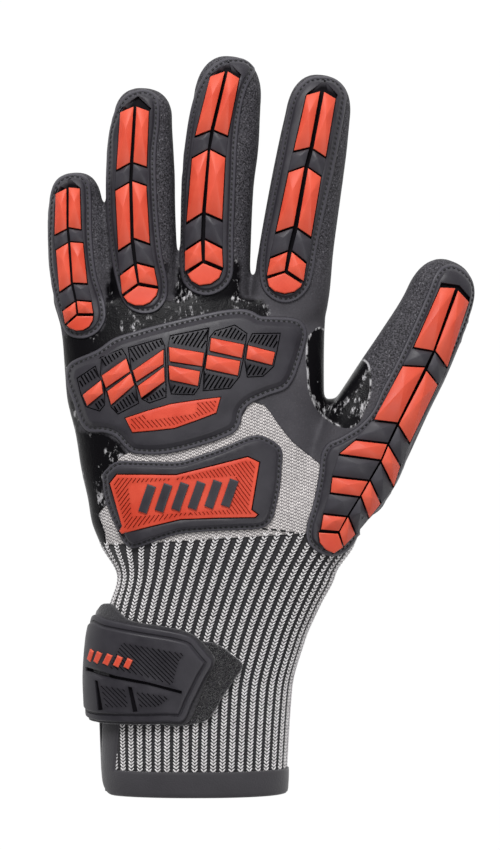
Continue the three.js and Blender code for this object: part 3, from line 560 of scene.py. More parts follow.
def round_wrist(share, y, height):
    """Point of the cuff at a share of its girth from the slit, over the palm side first."""
    share, y, height = np.broadcast_arrays(np.asarray(share, float), y, height)
    shape = share.shape
    share, y, height = share.ravel(), y.ravel(), height.ravel()
    row = np.clip((y - wrist_y[0]) / 1.0, 0, len(wrist_y) - 1.001)
    low, part = row.astype(int), row % 1
    sides = []
    for delta in (0.0, 0.002):
        points = np.zeros((len(share), 3))
        for r, weight in ((low, 1 - part), (low + 1, part)):
            wanted = (share + delta + 0.5) % 1.0 - 0.5
            for line in np.unique(r):
                pick = r == line
                for axis in (0, 2):
                    points[pick, axis] += weight[pick] * np.interp(
                        wanted[pick], wrist_share[line], wrist_rings[line][:, axis])
        sides.append(points)
    here, next_one = sides
    along = next_one - here
    normal = np.stack([-along[:, 2], np.zeros(len(share)), along[:, 0]], 1)
    normal /= -np.linalg.norm(normal, axis=1)[:, None]
    here[:, 1] = y
    return (here + normal * height[:, None]).reshape(shape + (3,))


def cuff_top_at(x):
    return CUFF_TOP + (x + 59.4) * 0.062


def grid_faces(rows_count, columns, closed=False):
    faces = []
    for r in range(rows_count - 1):
        for i in range(columns if closed else columns - 1):
            n = (i + 1) % columns
            faces.append((r * columns + i, r * columns + n, (r + 1) * columns + n, (r + 1) * columns + i))
    return faces


share_grid = np.linspace(0.012, 0.988, 353)
y_grid = np.arange(HEM + 1, CUFF_TOP + 6, 1.1)
ground_points = round_wrist(share_grid[None], y_grid[:, None], -0.35)
seal = y_grid > VENT_TOP + 2
columns = len(share_grid)
ground_faces = grid_faces(len(y_grid), columns)
for r in np.nonzero(seal)[0][:-1]:
    ground_faces.append((
        r * columns + columns - 1, r * columns, (r + 1) * columns, (r + 1) * columns + columns - 1,
    ))
cuff_ground = mesh_of("cuff_ground", ground_points.reshape(-1, 3), ground_faces)
outward(cuff_ground)
apply_modifier(cuff_ground, "SOLIDIFY", thickness=0.0011, offset=-1)
ground, tree, shader = new_finish("black_ground_knit", 0.9, 0.3)
loops = noise(tree, 1900, 3, stretch=(1, 0.6, 1))
coloured(tree, shader, fade(tree, loops, 0.35, 0.7), paint(16, 15, 18), paint(44, 42, 47))
relief(tree, shader, loops, 0.0003)
cuff_ground.data.shade_smooth()
cuff_ground.data.materials.append(ground)

LEG_RINGS = ((-0.62, 0.22), (-0.1, 0.35), (0.5, 0.25))
COURSE = 1.18
leg_turn = np.linspace(0, 2 * math.pi, 5, endpoint=False)
leg = [(0, -0.95, 0)]
for along, thick in LEG_RINGS:
    leg += [(math.cos(a) * thick, along, math.sin(a) * thick * 0.9) for a in leg_turn]
leg.append((0, 0.9, 0))
leg = np.array(leg)
leg_faces = [(0, 1 + i, 1 + (i + 1) % 5) for i in range(5)]
for r in range(2):
    leg_faces += [
        (1 + r * 5 + (i + 1) % 5, 1 + r * 5 + i, 6 + r * 5 + i, 6 + r * 5 + (i + 1) % 5)
        for i in range(5)
    ]
leg_faces += [(16, 11 + (i + 1) % 5, 11 + i) for i in range(5)]


rib_table = np.array([
    (-31.9, -5, 45, 18.5), (-43.3, -9.3, 42.5, 18.5), (-54.2, -13.3, 39.8, 18.5),
    (-65.1, -16.9, 38, 18.5), (-77.6, -20.5, 36.5, 18.5), (-95.6, -23.7, 34.5, 18.5),
    (-132.8, -24.6, 32.6, 18.5),
][::-1])
even_turn = np.interp((np.arange(RIBS) + 0.5) / RIBS - 0.5, wrist_share[50], turn) + math.pi
rib_across, rib_up = squared_oval(even_turn)


def rib_place(rib, y, height, aside=0.0):
    """Point on a rib, which keeps its course over the wrist while the cuff narrows and flares."""
    x0, half0 = (flowing(rib_table[:, 0], rib_table[:, i], y) for i in (1, 2))
    x, half, deep = (flowing(wrist_table[:, 0], wrist_table[:, i], y) for i in (1, 2, 3))
    q = rib_across[rib]
    side = np.sign(q)
    plan = x0 + half0 * q + ((x + side * half) - (x0 + side * half0)) * np.abs(q) ** 6
    ratio = np.clip((plan - x) / half, -0.9995, 0.9995)
    round_up = np.sign(rib_up[rib]) * (1 - np.abs(ratio) ** 2.25) ** (1 / 2.25)
    across = np.sign(ratio) * np.abs(ratio) ** 1.25 / half
    upward = np.sign(round_up) * np.abs(round_up) ** 1.25 / deep
    size = np.hypot(across, upward)
    across, upward = across / size, upward / size
    z = np.maximum(deep * (1 + round_up) - FLOOR_SINK, 1.7)
    return np.stack([
        x + half * ratio + across * height + upward * aside, y, z + upward * height - across * aside,
    ], 1)


def ribs_of(name, rib_numbers):
    ribs, heights, leans = [], [], []
    jitter = np.random.default_rng(7)
    for i in rib_numbers:
        x_top = rib_place(np.array([i]), np.array([CUFF_TOP]), 0)[0, 0]
        vent = abs((i + 0.5) / RIBS - 0.5) * girth[0] < TAPE_WIDTH + 1.2
        low = VENT_TOP + TAPE_WIDTH if vent else HEM + TAPE_WIDTH - 0.6
        for y in np.arange(low, cuff_top_at(x_top) + 0.6, COURSE):
            for lean in (-1, 1):
                ribs.append(i)
                heights.append(y + jitter.uniform(-0.06, 0.06))
                leans.append(lean)
    ribs, heights, leans = (np.array(v) for v in (ribs, heights, leans))
    aside = leans * 0.54
    middle = rib_place(ribs, heights, 0.12, aside)
    ahead = rib_place(ribs, heights + 1, 0.12, aside) - middle
    right = rib_place(ribs, heights, 0.12, aside + 0.5) - middle
    ahead /= np.linalg.norm(ahead, axis=1)[:, None]
    right /= np.linalg.norm(right, axis=1)[:, None]
    up = np.cross(right, ahead)
    outwards = rib_place(ribs, heights, 1) - rib_place(ribs, heights, 0)
    up *= np.sign(np.einsum("ij,ij->i", up, outwards))[:, None]
    tilt = np.radians(41) * leans
    size = jitter.uniform(0.93, 1.07, len(ribs))
    forward = ahead * np.cos(tilt)[:, None] + right * np.sin(tilt)[:, None]
    side = right * np.cos(tilt)[:, None] - ahead * np.sin(tilt)[:, None]
    points = (
        middle[:, None, :] + leg[None, :, 0, None] * side[:, None, :] * size[:, None, None]
        + leg[None, :, 1, None] * forward[:, None, :] + leg[None, :, 2, None] * up[:, None, :]
    )
    count = len(leg)
    faces = [tuple(k * count + v for v in f) for k in range(len(ribs)) for f in leg_faces]
    piece = mesh_of(name, points.reshape(-1, 3), faces)
    outward(piece)
    piece.data.shade_smooth()
    piece.data.materials.append(rib_yarn)
    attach(piece, "root")
    return piece


rib_yarn, tree, shader = new_finish("white_rib_yarn", 0.9, 0.4)
strands = noise(tree, 3200, 2)
shade = noise(tree, 420, 2, offset=(4, 0, 1))
tone = blend(tree, fade(tree, shade, 0.3, 0.7), paint(226, 222, 223), paint(252, 250, 250))
coloured(tree, shader, fade(tree, strands, 0.3, 0.6, 0.25, 1.0), paint(186, 182, 186), tone)
relief(tree, shader, strands, 0.00015)
half_way = RIBS // 2
ribs_of("cuff_ribs_back", range(half_way))
ribs_of("cuff_ribs_palm", range(half_way, RIBS))
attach(cuff_ground, "root")
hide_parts("ribbed_cuff")

# Hem binding: a smooth black tape folded over the hem and up both edges of the wrist slit, with
# a rounded corner where it turns. It is one closed run of tape round the edge of the cuff.
CORNER = 9.6
hem_girth = float(girth[0])
slit = 1.5
run = [(slit * math.sin(a), VENT_TOP + slit * math.cos(a)) for a in np.linspace(0, math.pi / 2, 7)]
run += [(slit, y) for y in np.arange(VENT_TOP - 2, HEM + CORNER + 1, -2.0)]
run += [
    (slit + CORNER * (1 - math.cos(a)), HEM + CORNER * (1 - math.sin(a)))
    for a in np.linspace(0, math.pi / 2, 14)
]
run += [(s, HEM) for s in np.linspace(slit + CORNER, hem_girth / 2, 60)[1:]]
run = np.array(run)
mirrored = run[::-1][1:-1] * (-1, 1) + (hem_girth, 0)
run = np.vstack([run, mirrored])
lead = np.roll(run, -1, axis=0) - np.roll(run, 1, axis=0)
wrap = np.abs(lead[:, 0]) > hem_girth / 2
lead[wrap, 0] -= np.sign(lead[wrap, 0]) * hem_girth
lead /= np.linalg.norm(lead, axis=1)[:, None]
into = np.stack([-lead[:, 1], lead[:, 0]], 1)
TAPE_PROFILE = (
    (9.3, -0.15), (9.25, 0.55), (9.0, 0.85), (8.3, 0.95), (5, 1.05), (2, 1.05), (0.9, 0.9), (0.25, 0.4),
    (0.05, -0.4), (0.2, -1.3), (0.9, -2.1), (2, -2.35), (5, -2.4), (8.6, -2.35), (9.1, -2.2), (9.2, -1.3),
)
rings = []
for depth, height in TAPE_PROFILE:
    place = run + into * depth
    round_share = place[:, 0] / np.interp(place[:, 1], wrist_y, girth)
    rings.append(round_wrist(round_share, np.maximum(place[:, 1], HEM), height + 0.1))
rings = np.array(rings)
rings[..., 2] = np.maximum(rings[..., 2], 0.05)
binding = mesh_of("hem_binding", rings.reshape(-1, 3), grid_faces(len(rings), len(run), closed=True) + [
    (
        (len(rings) - 1) * len(run) + i, (len(rings) - 1) * len(run) + (i + 1) % len(run),
        (i + 1) % len(run), i,
    )
    for i in range(len(run))
])
outward(binding)
tape, tree, shader = new_finish("smooth_binding_tape", 0.72, 0.25)
twill = noise(tree, 1500, 2, stretch=(1, 1, 1))
folds = noise(tree, 60, 3)
coloured(tree, shader, fade(tree, folds, 0.3, 0.7), paint(42, 40, 45), paint(53, 51, 56))
relief(tree, shader, math_node(tree, "ADD", math_node(tree, "MULTIPLY", twill, 0.4), folds), 0.0005, 0.6)
binding.data.shade_smooth()
binding.data.materials.append(tape)
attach(binding, "root")
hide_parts("cuff_binding")

# Finger guards: one black thermoplastic rubber moulding sewn down the back of each finger. It has
# a thin flange with a stitched channel, a domed tip pad above a sharp recess, wells for the orange
# blocks and raised black chevrons between them. Outlines are as seen square on to the back.
finger_guards = {
    "little": {
        "outline": [
            (-67.3, 91), (-64.4, 90), (-62.4, 87.3), (-61.7, 81.5), (-61.3, 66.8), (-59.7, 53.8),
            (-56.8, 44.1), (-56.3, 38.3), (-58.6, 33.6), (-62.2, 31.3), (-65.8, 30.8), (-69.4, 31.8),
            (-71.9, 34.7), (-74.5, 43), (-76.9, 53.8), (-77.8, 66.4), (-77.8, 72.9), (-77.3, 80.8),
            (-75.9, 86.2), (-73.7, 89.1), (-70.9, 90.6),
        ],
        "recess": [(-69.6, 88.4), (-73.9, 84.9), (-66, 85.1)],
        "pairs": {
            "tip": [
                [(-70.7, 84.9), (-74.6, 83), (-74.8, 68.3), (-70.5, 70.4)],
                [(-69.8, 85.3), (-65.9, 84.9), (-65.3, 70.2), (-69.7, 70.9)],
            ],
            "middle": [
                [(-70, 65.1), (-74.3, 62.5), (-72.9, 47.7), (-68.8, 50.4)],
                [(-69.1, 65.4), (-64.6, 65.1), (-63, 50.7), (-68, 50.9)],
            ],
            "root": [
                [(-67.3, 43.8), (-71.8, 40.6), (-71, 36.2), (-66.8, 39.7)],
                [(-66.6, 44.2), (-61.5, 43.8), (-60.8, 39.9), (-66.1, 39.9)],
            ],
        },
        "shield": [
            (-66.6, 38.8), (-70.4, 35.6), (-69.1, 34.4), (-66.8, 33.6), (-64.4, 33.8), (-62.2, 35.1),
            (-61, 37.1), (-60.8, 38.8),
        ],
    },
    "ring": {
        "outline": [
            (-42.9, 121.3), (-40.3, 120.6), (-38.1, 118.9), (-37.2, 115.7), (-37.2, 108.5),
            (-38.2, 98.8), (-38.3, 90.5), (-37.4, 72.9), (-36, 60.6), (-34.1, 50.9), (-34.7, 44.8),
            (-37.7, 40.8), (-42.4, 39.6), (-47.5, 41.2), (-50.7, 45.2), (-52.9, 52), (-54.7, 60.6),
            (-56.3, 73.6), (-56.7, 84.8), (-56.5, 95.2), (-55.9, 104.2), (-54.7, 109.9),
            (-52.9, 114.6), (-50.3, 118.4), (-46.7, 120.6),
        ],
        "recess": [(-44.9, 118), (-50.5, 113.9), (-40.4, 113.7)],
        "pairs": {
            "tip": [
                [(-46.5, 114.3), (-51.3, 112.3), (-52.5, 91.5), (-47.7, 94.1)],
                [(-45.4, 114.3), (-41, 112.7), (-41.7, 92.7), (-46.4, 94.2)],
            ],
            "middle": [
                [(-48, 86.6), (-52.9, 83.8), (-51.8, 62.6), (-47.4, 65.4)],
                [(-46.8, 87.2), (-41.8, 85.5), (-40.6, 65), (-46.2, 67)],
            ],
            "root": [
                [(-46.2, 56.9), (-51.1, 53.3), (-50.4, 46.7), (-45, 50.6)],
                [(-45.1, 57.5), (-39, 56), (-37.7, 49.7), (-44.2, 50.9)],
            ],
        },
        "shield": [
            (-44.6, 49.6), (-49.8, 45.8), (-48.4, 43.8), (-45.7, 42.6), (-42.8, 42.6), (-40.3, 43.7),
            (-38.1, 46.2), (-37.6, 48.5),
        ],
    },
    "middle": {
        "outline": [
            (-10.3, 132.9), (-6.7, 132.6), (-4.1, 131.3), (-2.6, 129.2), (-3.4, 126.3), (-5.9, 120.4),
            (-7.9, 111.8), (-9.1, 101.3), (-9.5, 91.6), (-10, 78.6), (-10.4, 66.4), (-10.4, 58.5),
            (-10.9, 53.1), (-13.3, 49.1), (-17.2, 46.8), (-20.9, 46.2), (-25.1, 47.5), (-28.4, 50.6),
            (-29.8, 55.6), (-30.2, 62.8), (-30, 75.4), (-29.2, 89.8), (-28.2, 100.6), (-26.6, 111.4),
            (-24.8, 118.6), (-22.4, 124), (-19.7, 128.2), (-16.1, 131.2), (-13.1, 132.6),
        ],
        "recess": [(-12.4, 130.5), (-18.1, 126.1), (-8, 125.9)],
        "pairs": {
            "tip": [
                [(-13.7, 127), (-18.9, 125.1), (-24.2, 103.8), (-18.8, 105.8)],
                [(-12.5, 127), (-8.5, 124.5), (-12.6, 103.8), (-17.4, 105.8)],
            ],
            "middle": [
                [(-19.8, 98.4), (-25.4, 95.4), (-27.3, 72.7), (-21.8, 76)],
                [(-18.8, 98.5), (-13.5, 95.7), (-14.6, 73.5), (-20.4, 76)],
            ],
            "root": [
                [(-22.2, 65.7), (-27.9, 62.1), (-27.9, 55), (-21.8, 58.7)],
                [(-20.7, 66), (-14.6, 62.9), (-14.3, 56.3), (-20.7, 59)],
            ],
        },
        "shield": [
            (-21.4, 57.7), (-26.9, 53.8), (-25.5, 51.4), (-22.7, 49.8), (-18.5, 50.4), (-15.6, 52.5),
            (-14.7, 55),
        ],
    },
    "index": {
        "outline": [
            (21.2, 126.1), (25.7, 125.5), (29, 122.9), (30.4, 119.3), (29.9, 114.3), (28.2, 104.9),
            (25.6, 91.2), (22.8, 78.6), (19.9, 65), (18.2, 54.9), (16.6, 49.1), (12.8, 45), (8, 43.5),
            (3.3, 45), (0.1, 48.4), (-1.2, 53.4), (-1.2, 58.5), (-0.3, 66.8), (1.5, 75.8), (3.9, 87.6),
            (6, 97.8), (8.4, 110.3), (10.3, 117.5), (13.2, 122.5), (16.8, 125.4),
        ],
        "recess": [(22.2, 123.8), (16.5, 119.2), (26.8, 118.7)],
        "pairs": {
            "tip": [
                [(20.6, 119.8), (15.8, 118.4), (11.2, 98.3), (16.8, 99.6)],
                [(22.1, 119.6), (26.2, 117.2), (22.6, 96.2), (18.2, 99)],
            ],
            "middle": [
                [(14.9, 92.3), (9.3, 90.3), (4.8, 69.1), (11, 71.2)],
                [(16.3, 91.9), (20.9, 88.7), (17.3, 67.4), (12.6, 70.6)],
            ],
            "root": [
                [(8.8, 61.7), (2.7, 59.3), (1.5, 53.3), (7.8, 55.1)],
                [(10.4, 61.7), (15.5, 57.5), (14.6, 51.4), (9, 55.1)],
            ],
        },
        "shield": [
            (7.8, 54.2), (1.7, 52.1), (2.2, 49.5), (4.2, 47.7), (7.8, 46.8), (11.2, 47.5),
            (13.6, 49.3), (14, 50.3),
        ],
    },
}
GUARD_EDGE = (
    (0, 0.35), (0.07, 0.72), (0.28, 0.98), (0.55, 1.05), (1.0, 1.02), (1.1, 0.88), (1.8, 0.88), (1.9, 1.05),
    (2.15, 1.2), (2.4, 1.75), (2.75, 2.0),
)
TOP, WELL = 2.0, 0.75


def offset(outline, distance):
    """Outline moved inwards by a distance, or by one distance for each of its points."""
    p = np.asarray(outline, float)
    before, after = p - np.roll(p, 1, axis=0), np.roll(p, -1, axis=0) - p
    before /= np.linalg.norm(before, axis=1)[:, None]
    after /= np.linalg.norm(after, axis=1)[:, None]
    turned = np.sign((p[:, 0] * np.roll(p[:, 1], -1) - np.roll(p[:, 0], -1) * p[:, 1]).sum())
    left = lambda v: np.stack([-v[:, 1], v[:, 0]], 1) * turned
    normal = left(before) + left(after)
    normal /= np.maximum(np.linalg.norm(normal, axis=1), 0.2)[:, None]
    lean = np.maximum((normal * left(before)).sum(1), 0.45)
    return p + normal * (np.broadcast_to(distance, len(p)) / lean)[:, None]


def facing(outline, lay, rounds=6):
    """How squarely the surface under an outline faces up, which narrows a rim seen from above."""
    flat = np.zeros(len(outline))
    share = (lay(outline, flat + 1) - lay(outline, flat))[:, 2]
    share = np.clip(share, 0.78, 1)
    for _ in range(rounds):
        share = (np.roll(share, 1) + share + np.roll(share, -1)) / 3
    return share


def rim(outline, profile, lay):
    """Rings of a moulded edge, each an outline, its height, whether it opens on a flat, and its painted
    light: the stitched flange gets a painted highlight.
    """
    share = facing(outline, lay)
    return [
        (offset(outline, d * share), h, i == len(profile) - 1, -0.35 if 0.2 < d < 2 else 0)
        for i, (d, h) in enumerate(profile)
    ]


def moulding(name, rings, lay, finish, grid=1.6, base=-0.5, angle=42):
    """Closed moulding from nested outlines and their heights, laid on the form under it, with each ring's
    painted shade or painted highlight kept on its points.
    """
    flat_points, heights, painted_lights, edges = [], [], [], []
    for outline, height, _, painted_light in rings:
        start = len(flat_points)
        flat_points += [tuple(p) for p in outline]
        heights += [height] * len(outline)
        painted_lights += [painted_light] * len(outline)
        edges += [(start + i, start + (i + 1) % len(outline)) for i in range(len(outline))]
    outer = rings[0][0]
    low, high = outer.min(0), outer.max(0)
    x, y = np.meshgrid(np.arange(low[0], high[0], grid), np.arange(low[1], high[1], grid * 0.87))
    x[1::2] += grid / 2
    fill = np.stack([x.ravel(), y.ravel()], 1)
    fill = fill[inside(fill, outer)]
    level, shade = np.full(len(fill), np.nan), np.zeros(len(fill))
    free = np.ones(len(fill), bool)
    for outline, height, is_flat, painted_light in rings:
        distance = distance_in(fill, outline)
        level[distance > 0] = height if is_flat else np.nan
        shade[distance > 0] = painted_light
        free &= np.abs(distance) > grid * 0.35
    free &= ~np.isnan(level)
    flat_points += [tuple(p) for p in fill[free]]
    heights = np.array(heights + list(level[free]))
    painted_lights = np.array(painted_lights + list(shade[free]))
    made = delaunay_2d_cdt([Vector(p) for p in flat_points], edges, [], 0, 1e-5)
    flat = np.array([v[:] for v in made[0]])
    source = np.array(flat_points)
    given = np.array([
        came[0] if came else np.argmin(((source - p) ** 2).sum(1)) for p, came in zip(flat, made[3])
    ])
    up, shade = heights[given], painted_lights[given]
    triangles = np.array([f[:] for f in made[2]])
    triangles = triangles[inside(flat[triangles].mean(1), outer)]
    a, b, c = (flat[triangles[:, i]] for i in range(3))
    turned = (b - a)[:, 0] * (c - a)[:, 1] - (b - a)[:, 1] * (c - a)[:, 0]
    triangles[turned < 0] = triangles[turned < 0][:, ::-1]
    triangles = triangles[np.abs(turned) > 1e-7]
    used = np.unique(triangles)
    renumber = np.full(len(flat), -1)
    renumber[used] = np.arange(len(used))
    flat, up, shade, triangles = flat[used], up[used], shade[used], renumber[triangles]
    count = len(flat)
    top = lay(flat, up)
    bottom = lay(flat, np.full(count, base))
    sides = {}
    for triangle in triangles:
        for i in range(3):
            edge = (int(triangle[i]), int(triangle[(i + 1) % 3]))
            if edge[::-1] in sides:
                del sides[edge[::-1]]
            else:
                sides[edge] = True
    faces = [tuple(map(int, t)) for t in triangles]
    faces += [tuple(int(v) + count for v in t[::-1]) for t in triangles]
    faces += [(b, a, a + count, b + count) for a, b in sides]
    piece = mesh_of(name, np.vstack([top, bottom]), faces)
    # Painted light on each point: above zero a painted shade for recesses, below zero a painted highlight.
    painted_light = piece.data.attributes.new("painted_light", "FLOAT", "POINT")
    painted_light.data.foreach_set("value", np.concatenate([shade, shade]))
    piece.data.shade_smooth()
    bpy.context.view_layer.objects.active = piece
    piece.select_set(True)
    bpy.ops.object.shade_smooth_by_angle(angle=math.radians(angle))
    piece.select_set(False)
    piece.data.materials.append(finish)
    return piece


# Rings of a well round an outline, with painted shade on its walls and floor.
def well(outline, grow=0.3, top=TOP, floor=WELL):
    return [
        (offset(outline, -grow - 0.12), top, False, 0), (offset(outline, -grow), top - 0.15, False, 0.15),
        (offset(outline, -grow + 0.1), floor, True, 1),
    ]


# Rings of a groove, with painted shade on its walls and floor.
def groove(outline, top, depth):
    return [(outline, top, False, 0.3), (offset(outline, 0.08), top - depth, True, 1)]


def channel(outline, top, depth, width=0.42):
    """Thin groove that runs round an outline, with painted shade on its walls and floor."""
    return [
        (outline, top, False, 0.2), (offset(outline, 0.1), top - depth, False, 1),
        (offset(outline, width - 0.1), top - depth, False, 1), (offset(outline, width), top, True, 0.1),
    ]


def chevron_between(above, below, start=0.09, end=0.91):
    """Black block in the gap between the foot of one orange block and the tip of the next."""
    (_, _, foot_outer, foot_inner), (tip_inner, tip_outer, _, _) = (np.array(b) for b in (above, below))
    return np.array([
        foot_inner + (tip_inner - foot_inner) * start, foot_outer + (tip_outer - foot_outer) * start,
        foot_outer + (tip_outer - foot_outer) * end, foot_inner + (tip_inner - foot_inner) * end,
    ])


def faceted(corners, edge_heights, peak, peak_height, lay, base, spacing=2.2, grow_outer=0.0):
    """Points and faces of one cut block: upright sides, and facets that meet at its peak."""
    corners, (along, across) = np.array(corners), peak
    corners[1] += (corners[1] - corners[0]) / np.linalg.norm(corners[1] - corners[0]) * grow_outer
    corners[2] += (corners[2] - corners[3]) / np.linalg.norm(corners[2] - corners[3]) * grow_outer
    tip_inner, tip_outer, foot_outer, foot_inner = corners
    inner = tip_inner + (foot_inner - tip_inner) * along
    outer = tip_outer + (foot_outer - tip_outer) * along
    flat, up, facet_starts = [], [], []
    for i in range(4):
        a, b = corners[i], corners[(i + 1) % 4]
        pieces = max(1, round(np.linalg.norm(b - a) / spacing))
        facet_starts.append(len(flat))
        for t in np.arange(pieces) / pieces:
            flat.append(a + (b - a) * t)
            up.append(edge_heights[i] + (edge_heights[(i + 1) % 4] - edge_heights[i]) * t)
    count = len(flat)
    flat, up = np.array(flat), np.array(up)
    centre = inner + (outer - inner) * across
    top_edge = offset(flat, 0.1)
    points = np.vstack([
        lay(flat, np.full(count, base)), lay(flat, up - 0.14),
        lay(top_edge, up), lay([centre], [peak_height]),
    ])
    faces = []
    for level in (0, 1):
        for i in range(count):
            n = (i + 1) % count
            faces.append((
                level * count + i, level * count + n,
                (level + 1) * count + n, (level + 1) * count + i,
            ))
    faces += [(2 * count + i, 2 * count + (i + 1) % count, 3 * count) for i in range(count)]
    faces.append(tuple(range(count)))
    creases = [(2 * count + i, 3 * count) for i in facet_starts]
    return points, faces, creases


def plateau(outline, height, lay, base, dome=0.0):
    """Points and faces of a block with a bevelled flat top."""
    outline = np.array(outline)
    count = len(outline)
    insets = ((0, base), (0, height - 0.3), (0.12, height - 0.1), (0.45, height))
    points = [lay(offset(outline, d), np.full(count, h)) for d, h in insets]
    points.append(lay([outline.mean(0)], [height + dome]))
    faces = []
    for level in range(3):
        for i in range(count):
            n = (i + 1) % count
            faces.append((
                level * count + i, level * count + n,
                (level + 1) * count + n, (level + 1) * count + i,
            ))
    faces += [(3 * count + i, 3 * count + (i + 1) % count, 4 * count) for i in range(count)]
    faces.append(tuple(range(count)))
    return np.vstack(points), faces, [(3 * count + i, 3 * count + (i + 1) % count) for i in range(count)]


def blocks_of(name, solids, finish):
    points, faces, creases, start = [], [], [], 0
    for block_points, block_faces, block_creases in solids:
        points.append(block_points)
        faces += [tuple(start + v for v in f) for f in block_faces]
        creases += [(start + a, start + b) for a, b in block_creases]
        start += len(block_points)
    piece = mesh_of(name, np.vstack(points), faces)
    outward(piece)
    piece.data.shade_smooth()
    sharp = {tuple(sorted(c)) for c in creases}
    for edge in piece.data.edges:
        edge.use_edge_sharp = tuple(sorted(edge.vertices)) in sharp
    piece.data.materials.append(finish)
    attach(piece, "root")
    return piece


def sewn(name, outline, lay, height, pitch=1.85, length=1.2, thick=0.31, closed=True):
    """Run of short stitches along a line, each a small flattened bead of thread."""
    line = np.asarray(outline)
    loop = np.vstack([line, line[:1]]) if closed else line
    run_length = np.concatenate([[0], np.cumsum(np.linalg.norm(np.diff(loop, axis=0), axis=1))])
    count = int(run_length[-1] / pitch)
    at = np.arange(count) * run_length[-1] / count
    ends = [
        np.stack([np.interp((at + s) % run_length[-1], run_length, loop[:, k]) for k in (0, 1)], 1)
        for s in (0, length)
    ]
    starts, stops = lay(ends[0], np.full(count, height)), lay(ends[1], np.full(count, height))
    up = lay(ends[0], np.full(count, height + 1)) - starts
    ahead = stops - starts
    ahead /= np.linalg.norm(ahead, axis=1)[:, None]
    side = np.cross(ahead, up)
    side /= np.linalg.norm(side, axis=1)[:, None]
    up = np.cross(side, ahead)
    around = np.linspace(0, 2 * math.pi, 6, endpoint=False)
    rings = []
    for t, wide in ((0, 0.35), (0.18, 1), (0.82, 1), (1, 0.35)):
        middle = starts + (stops - starts) * t - up * (0.12 if wide < 1 else 0)
        rings.append(middle[:, None] + side[:, None] * (np.cos(around) * thick * wide)[None, :, None]
                     + up[:, None] * (np.sin(around) * thick * 0.8 * wide)[None, :, None])
    points = np.stack(rings, 1).reshape(-1, 3)
    faces = [tuple(k * 24 + v for v in f) for k in range(count) for f in tube_faces(4, 6)]
    piece = mesh_of(name, points, faces)
    outward(piece)
    piece.data.shade_smooth()
    piece.data.materials.append(thread)
    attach(piece, "root")
    return piece


def rubber(name, dark, light, roughness, dust_and_highlight, deep):
    finish, tree, shader = new_finish(name, roughness)
    clouds = noise(tree, 120, 4)
    fine = noise(tree, 3400, 2)
    tone = blend(tree, fade(tree, clouds, 0.3, 0.7), dark, light)
    # Convex edges are lightened towards the dust colour: partly dust, partly a painted highlight on the
    # bevels.
    edge = put(tree, "NewGeometry", out=7)
    tone = blend(tree, fade(tree, edge, 0.53, 0.66, 0.0, 0.4), tone, dust_and_highlight)
    # Painted light from the moulding: recess floors and groove walls are darkened towards the deep colour as
    # painted shade, and below zero the stitched flange is lightened as a painted highlight. Reflection is
    # lowered in the recesses too.
    painted_light = put(tree, "Attribute", out=2, attribute_name="painted_light")
    tone = blend(tree, fade(tree, painted_light, 0.1, 1.0, 0.0, 0.85), tone, deep)
    tone = blend(tree, fade(tree, painted_light, 0.0, -1.0), tone, dust_and_highlight)
    tree.links.new(tone, shader.inputs["Base Color"])
    tree.links.new(fade(tree, painted_light, 0.1, 1.0, 0.36, 0.02), shader.inputs["Specular IOR Level"])
    tree.links.new(
        fade(tree, clouds, 0.3, 0.7, roughness - 0.06, roughness + 0.1), shader.inputs["Roughness"],
    )
    relief(tree, shader, math_node(tree, "ADD", math_node(tree, "MULTIPLY", fine, 0.5), clouds), 0.00012, 0.5)
    return finish


# The fifth colour of each rubber is its dust and painted edge highlight, the sixth its painted shade in
# recesses.
black_rubber = rubber(
    "black_rubber", paint(42, 40, 46), paint(53, 51, 57), 0.5, paint(92, 90, 98), paint(8, 7, 9),
)
orange_rubber = rubber(
    "orange_rubber", paint(206, 66, 44), paint(220, 80, 56), 0.5, paint(236, 128, 100),
    paint(130, 34, 24),
)
thread, tree, shader = new_finish("black_thread", 0.75, 0.2)
plies = noise(tree, 2800, 2)
tree.links.new(blend(tree, plies, paint(4, 4, 5), paint(18, 17, 20)), shader.inputs["Base Color"])
relief(tree, shader, plies, 0.0001)

def long_well(recess, pairs, shield):
    """Outline of the well that holds every block of a guard, from the recess at its tip."""
    apex, recess_left, recess_right = recess
    left_side = [corner for left, _ in pairs for corner in (left[1], left[2])]
    right_side = [corner for _, right in pairs for corner in (right[1], right[2])]
    return np.array([apex, recess_left, *left_side, *shield[1:], *right_side[::-1], recess_right])


def guard_with_blocks(name, outline, recess, pairs, shield, nodes, lay, tall):
    """Black moulding of one digit, its black chevrons, its sewing and its orange blocks."""
    outline = curved(outline)
    rings = rim(outline, GUARD_EDGE, lay) + well(long_well(recess, pairs, shield), 0.22)
    cover = moulding(f"{name}_guard_moulding", rings, lay, black_rubber)
    chevrons = []
    for above, below in zip(pairs[:-1], pairs[1:]):
        for side in (0, 1):
            corners = chevron_between(above[side], below[side])
            chevrons.append(faceted(
                corners, (2.5, 2.2, 2.15, 2.35), (0.3, 0.45), 2.85, lay, WELL - 0.1, grow_outer=0.3,
            ))
    chevrons = blocks_of(f"{name}_guard_chevrons", chevrons, black_rubber)
    sewing = sewn(
        f"{name}_guard_stitches", offset(outline, 1.45 * facing(outline, lay)), lay, 0.95,
    )
    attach(cover, "root")
    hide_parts(f"{name}_guard")
    for i, (left, right) in enumerate(pairs):
        high = tall[i]
        solids = [
            faceted(
                corners, (high - 0.85, high - 0.95, high - 0.4, high - 0.15), (0.36, 0.5), high,
                lay, WELL - 0.1,
            )
            for corners in (left, right)
        ]
        if i == len(pairs) - 1:
            solids.append(plateau(shield, high - 0.35, lay, WELL - 0.1, 0.35))
        piece = blocks_of(f"{name}_blocks_{i + 1}", solids, orange_rubber)
        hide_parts(nodes[i])


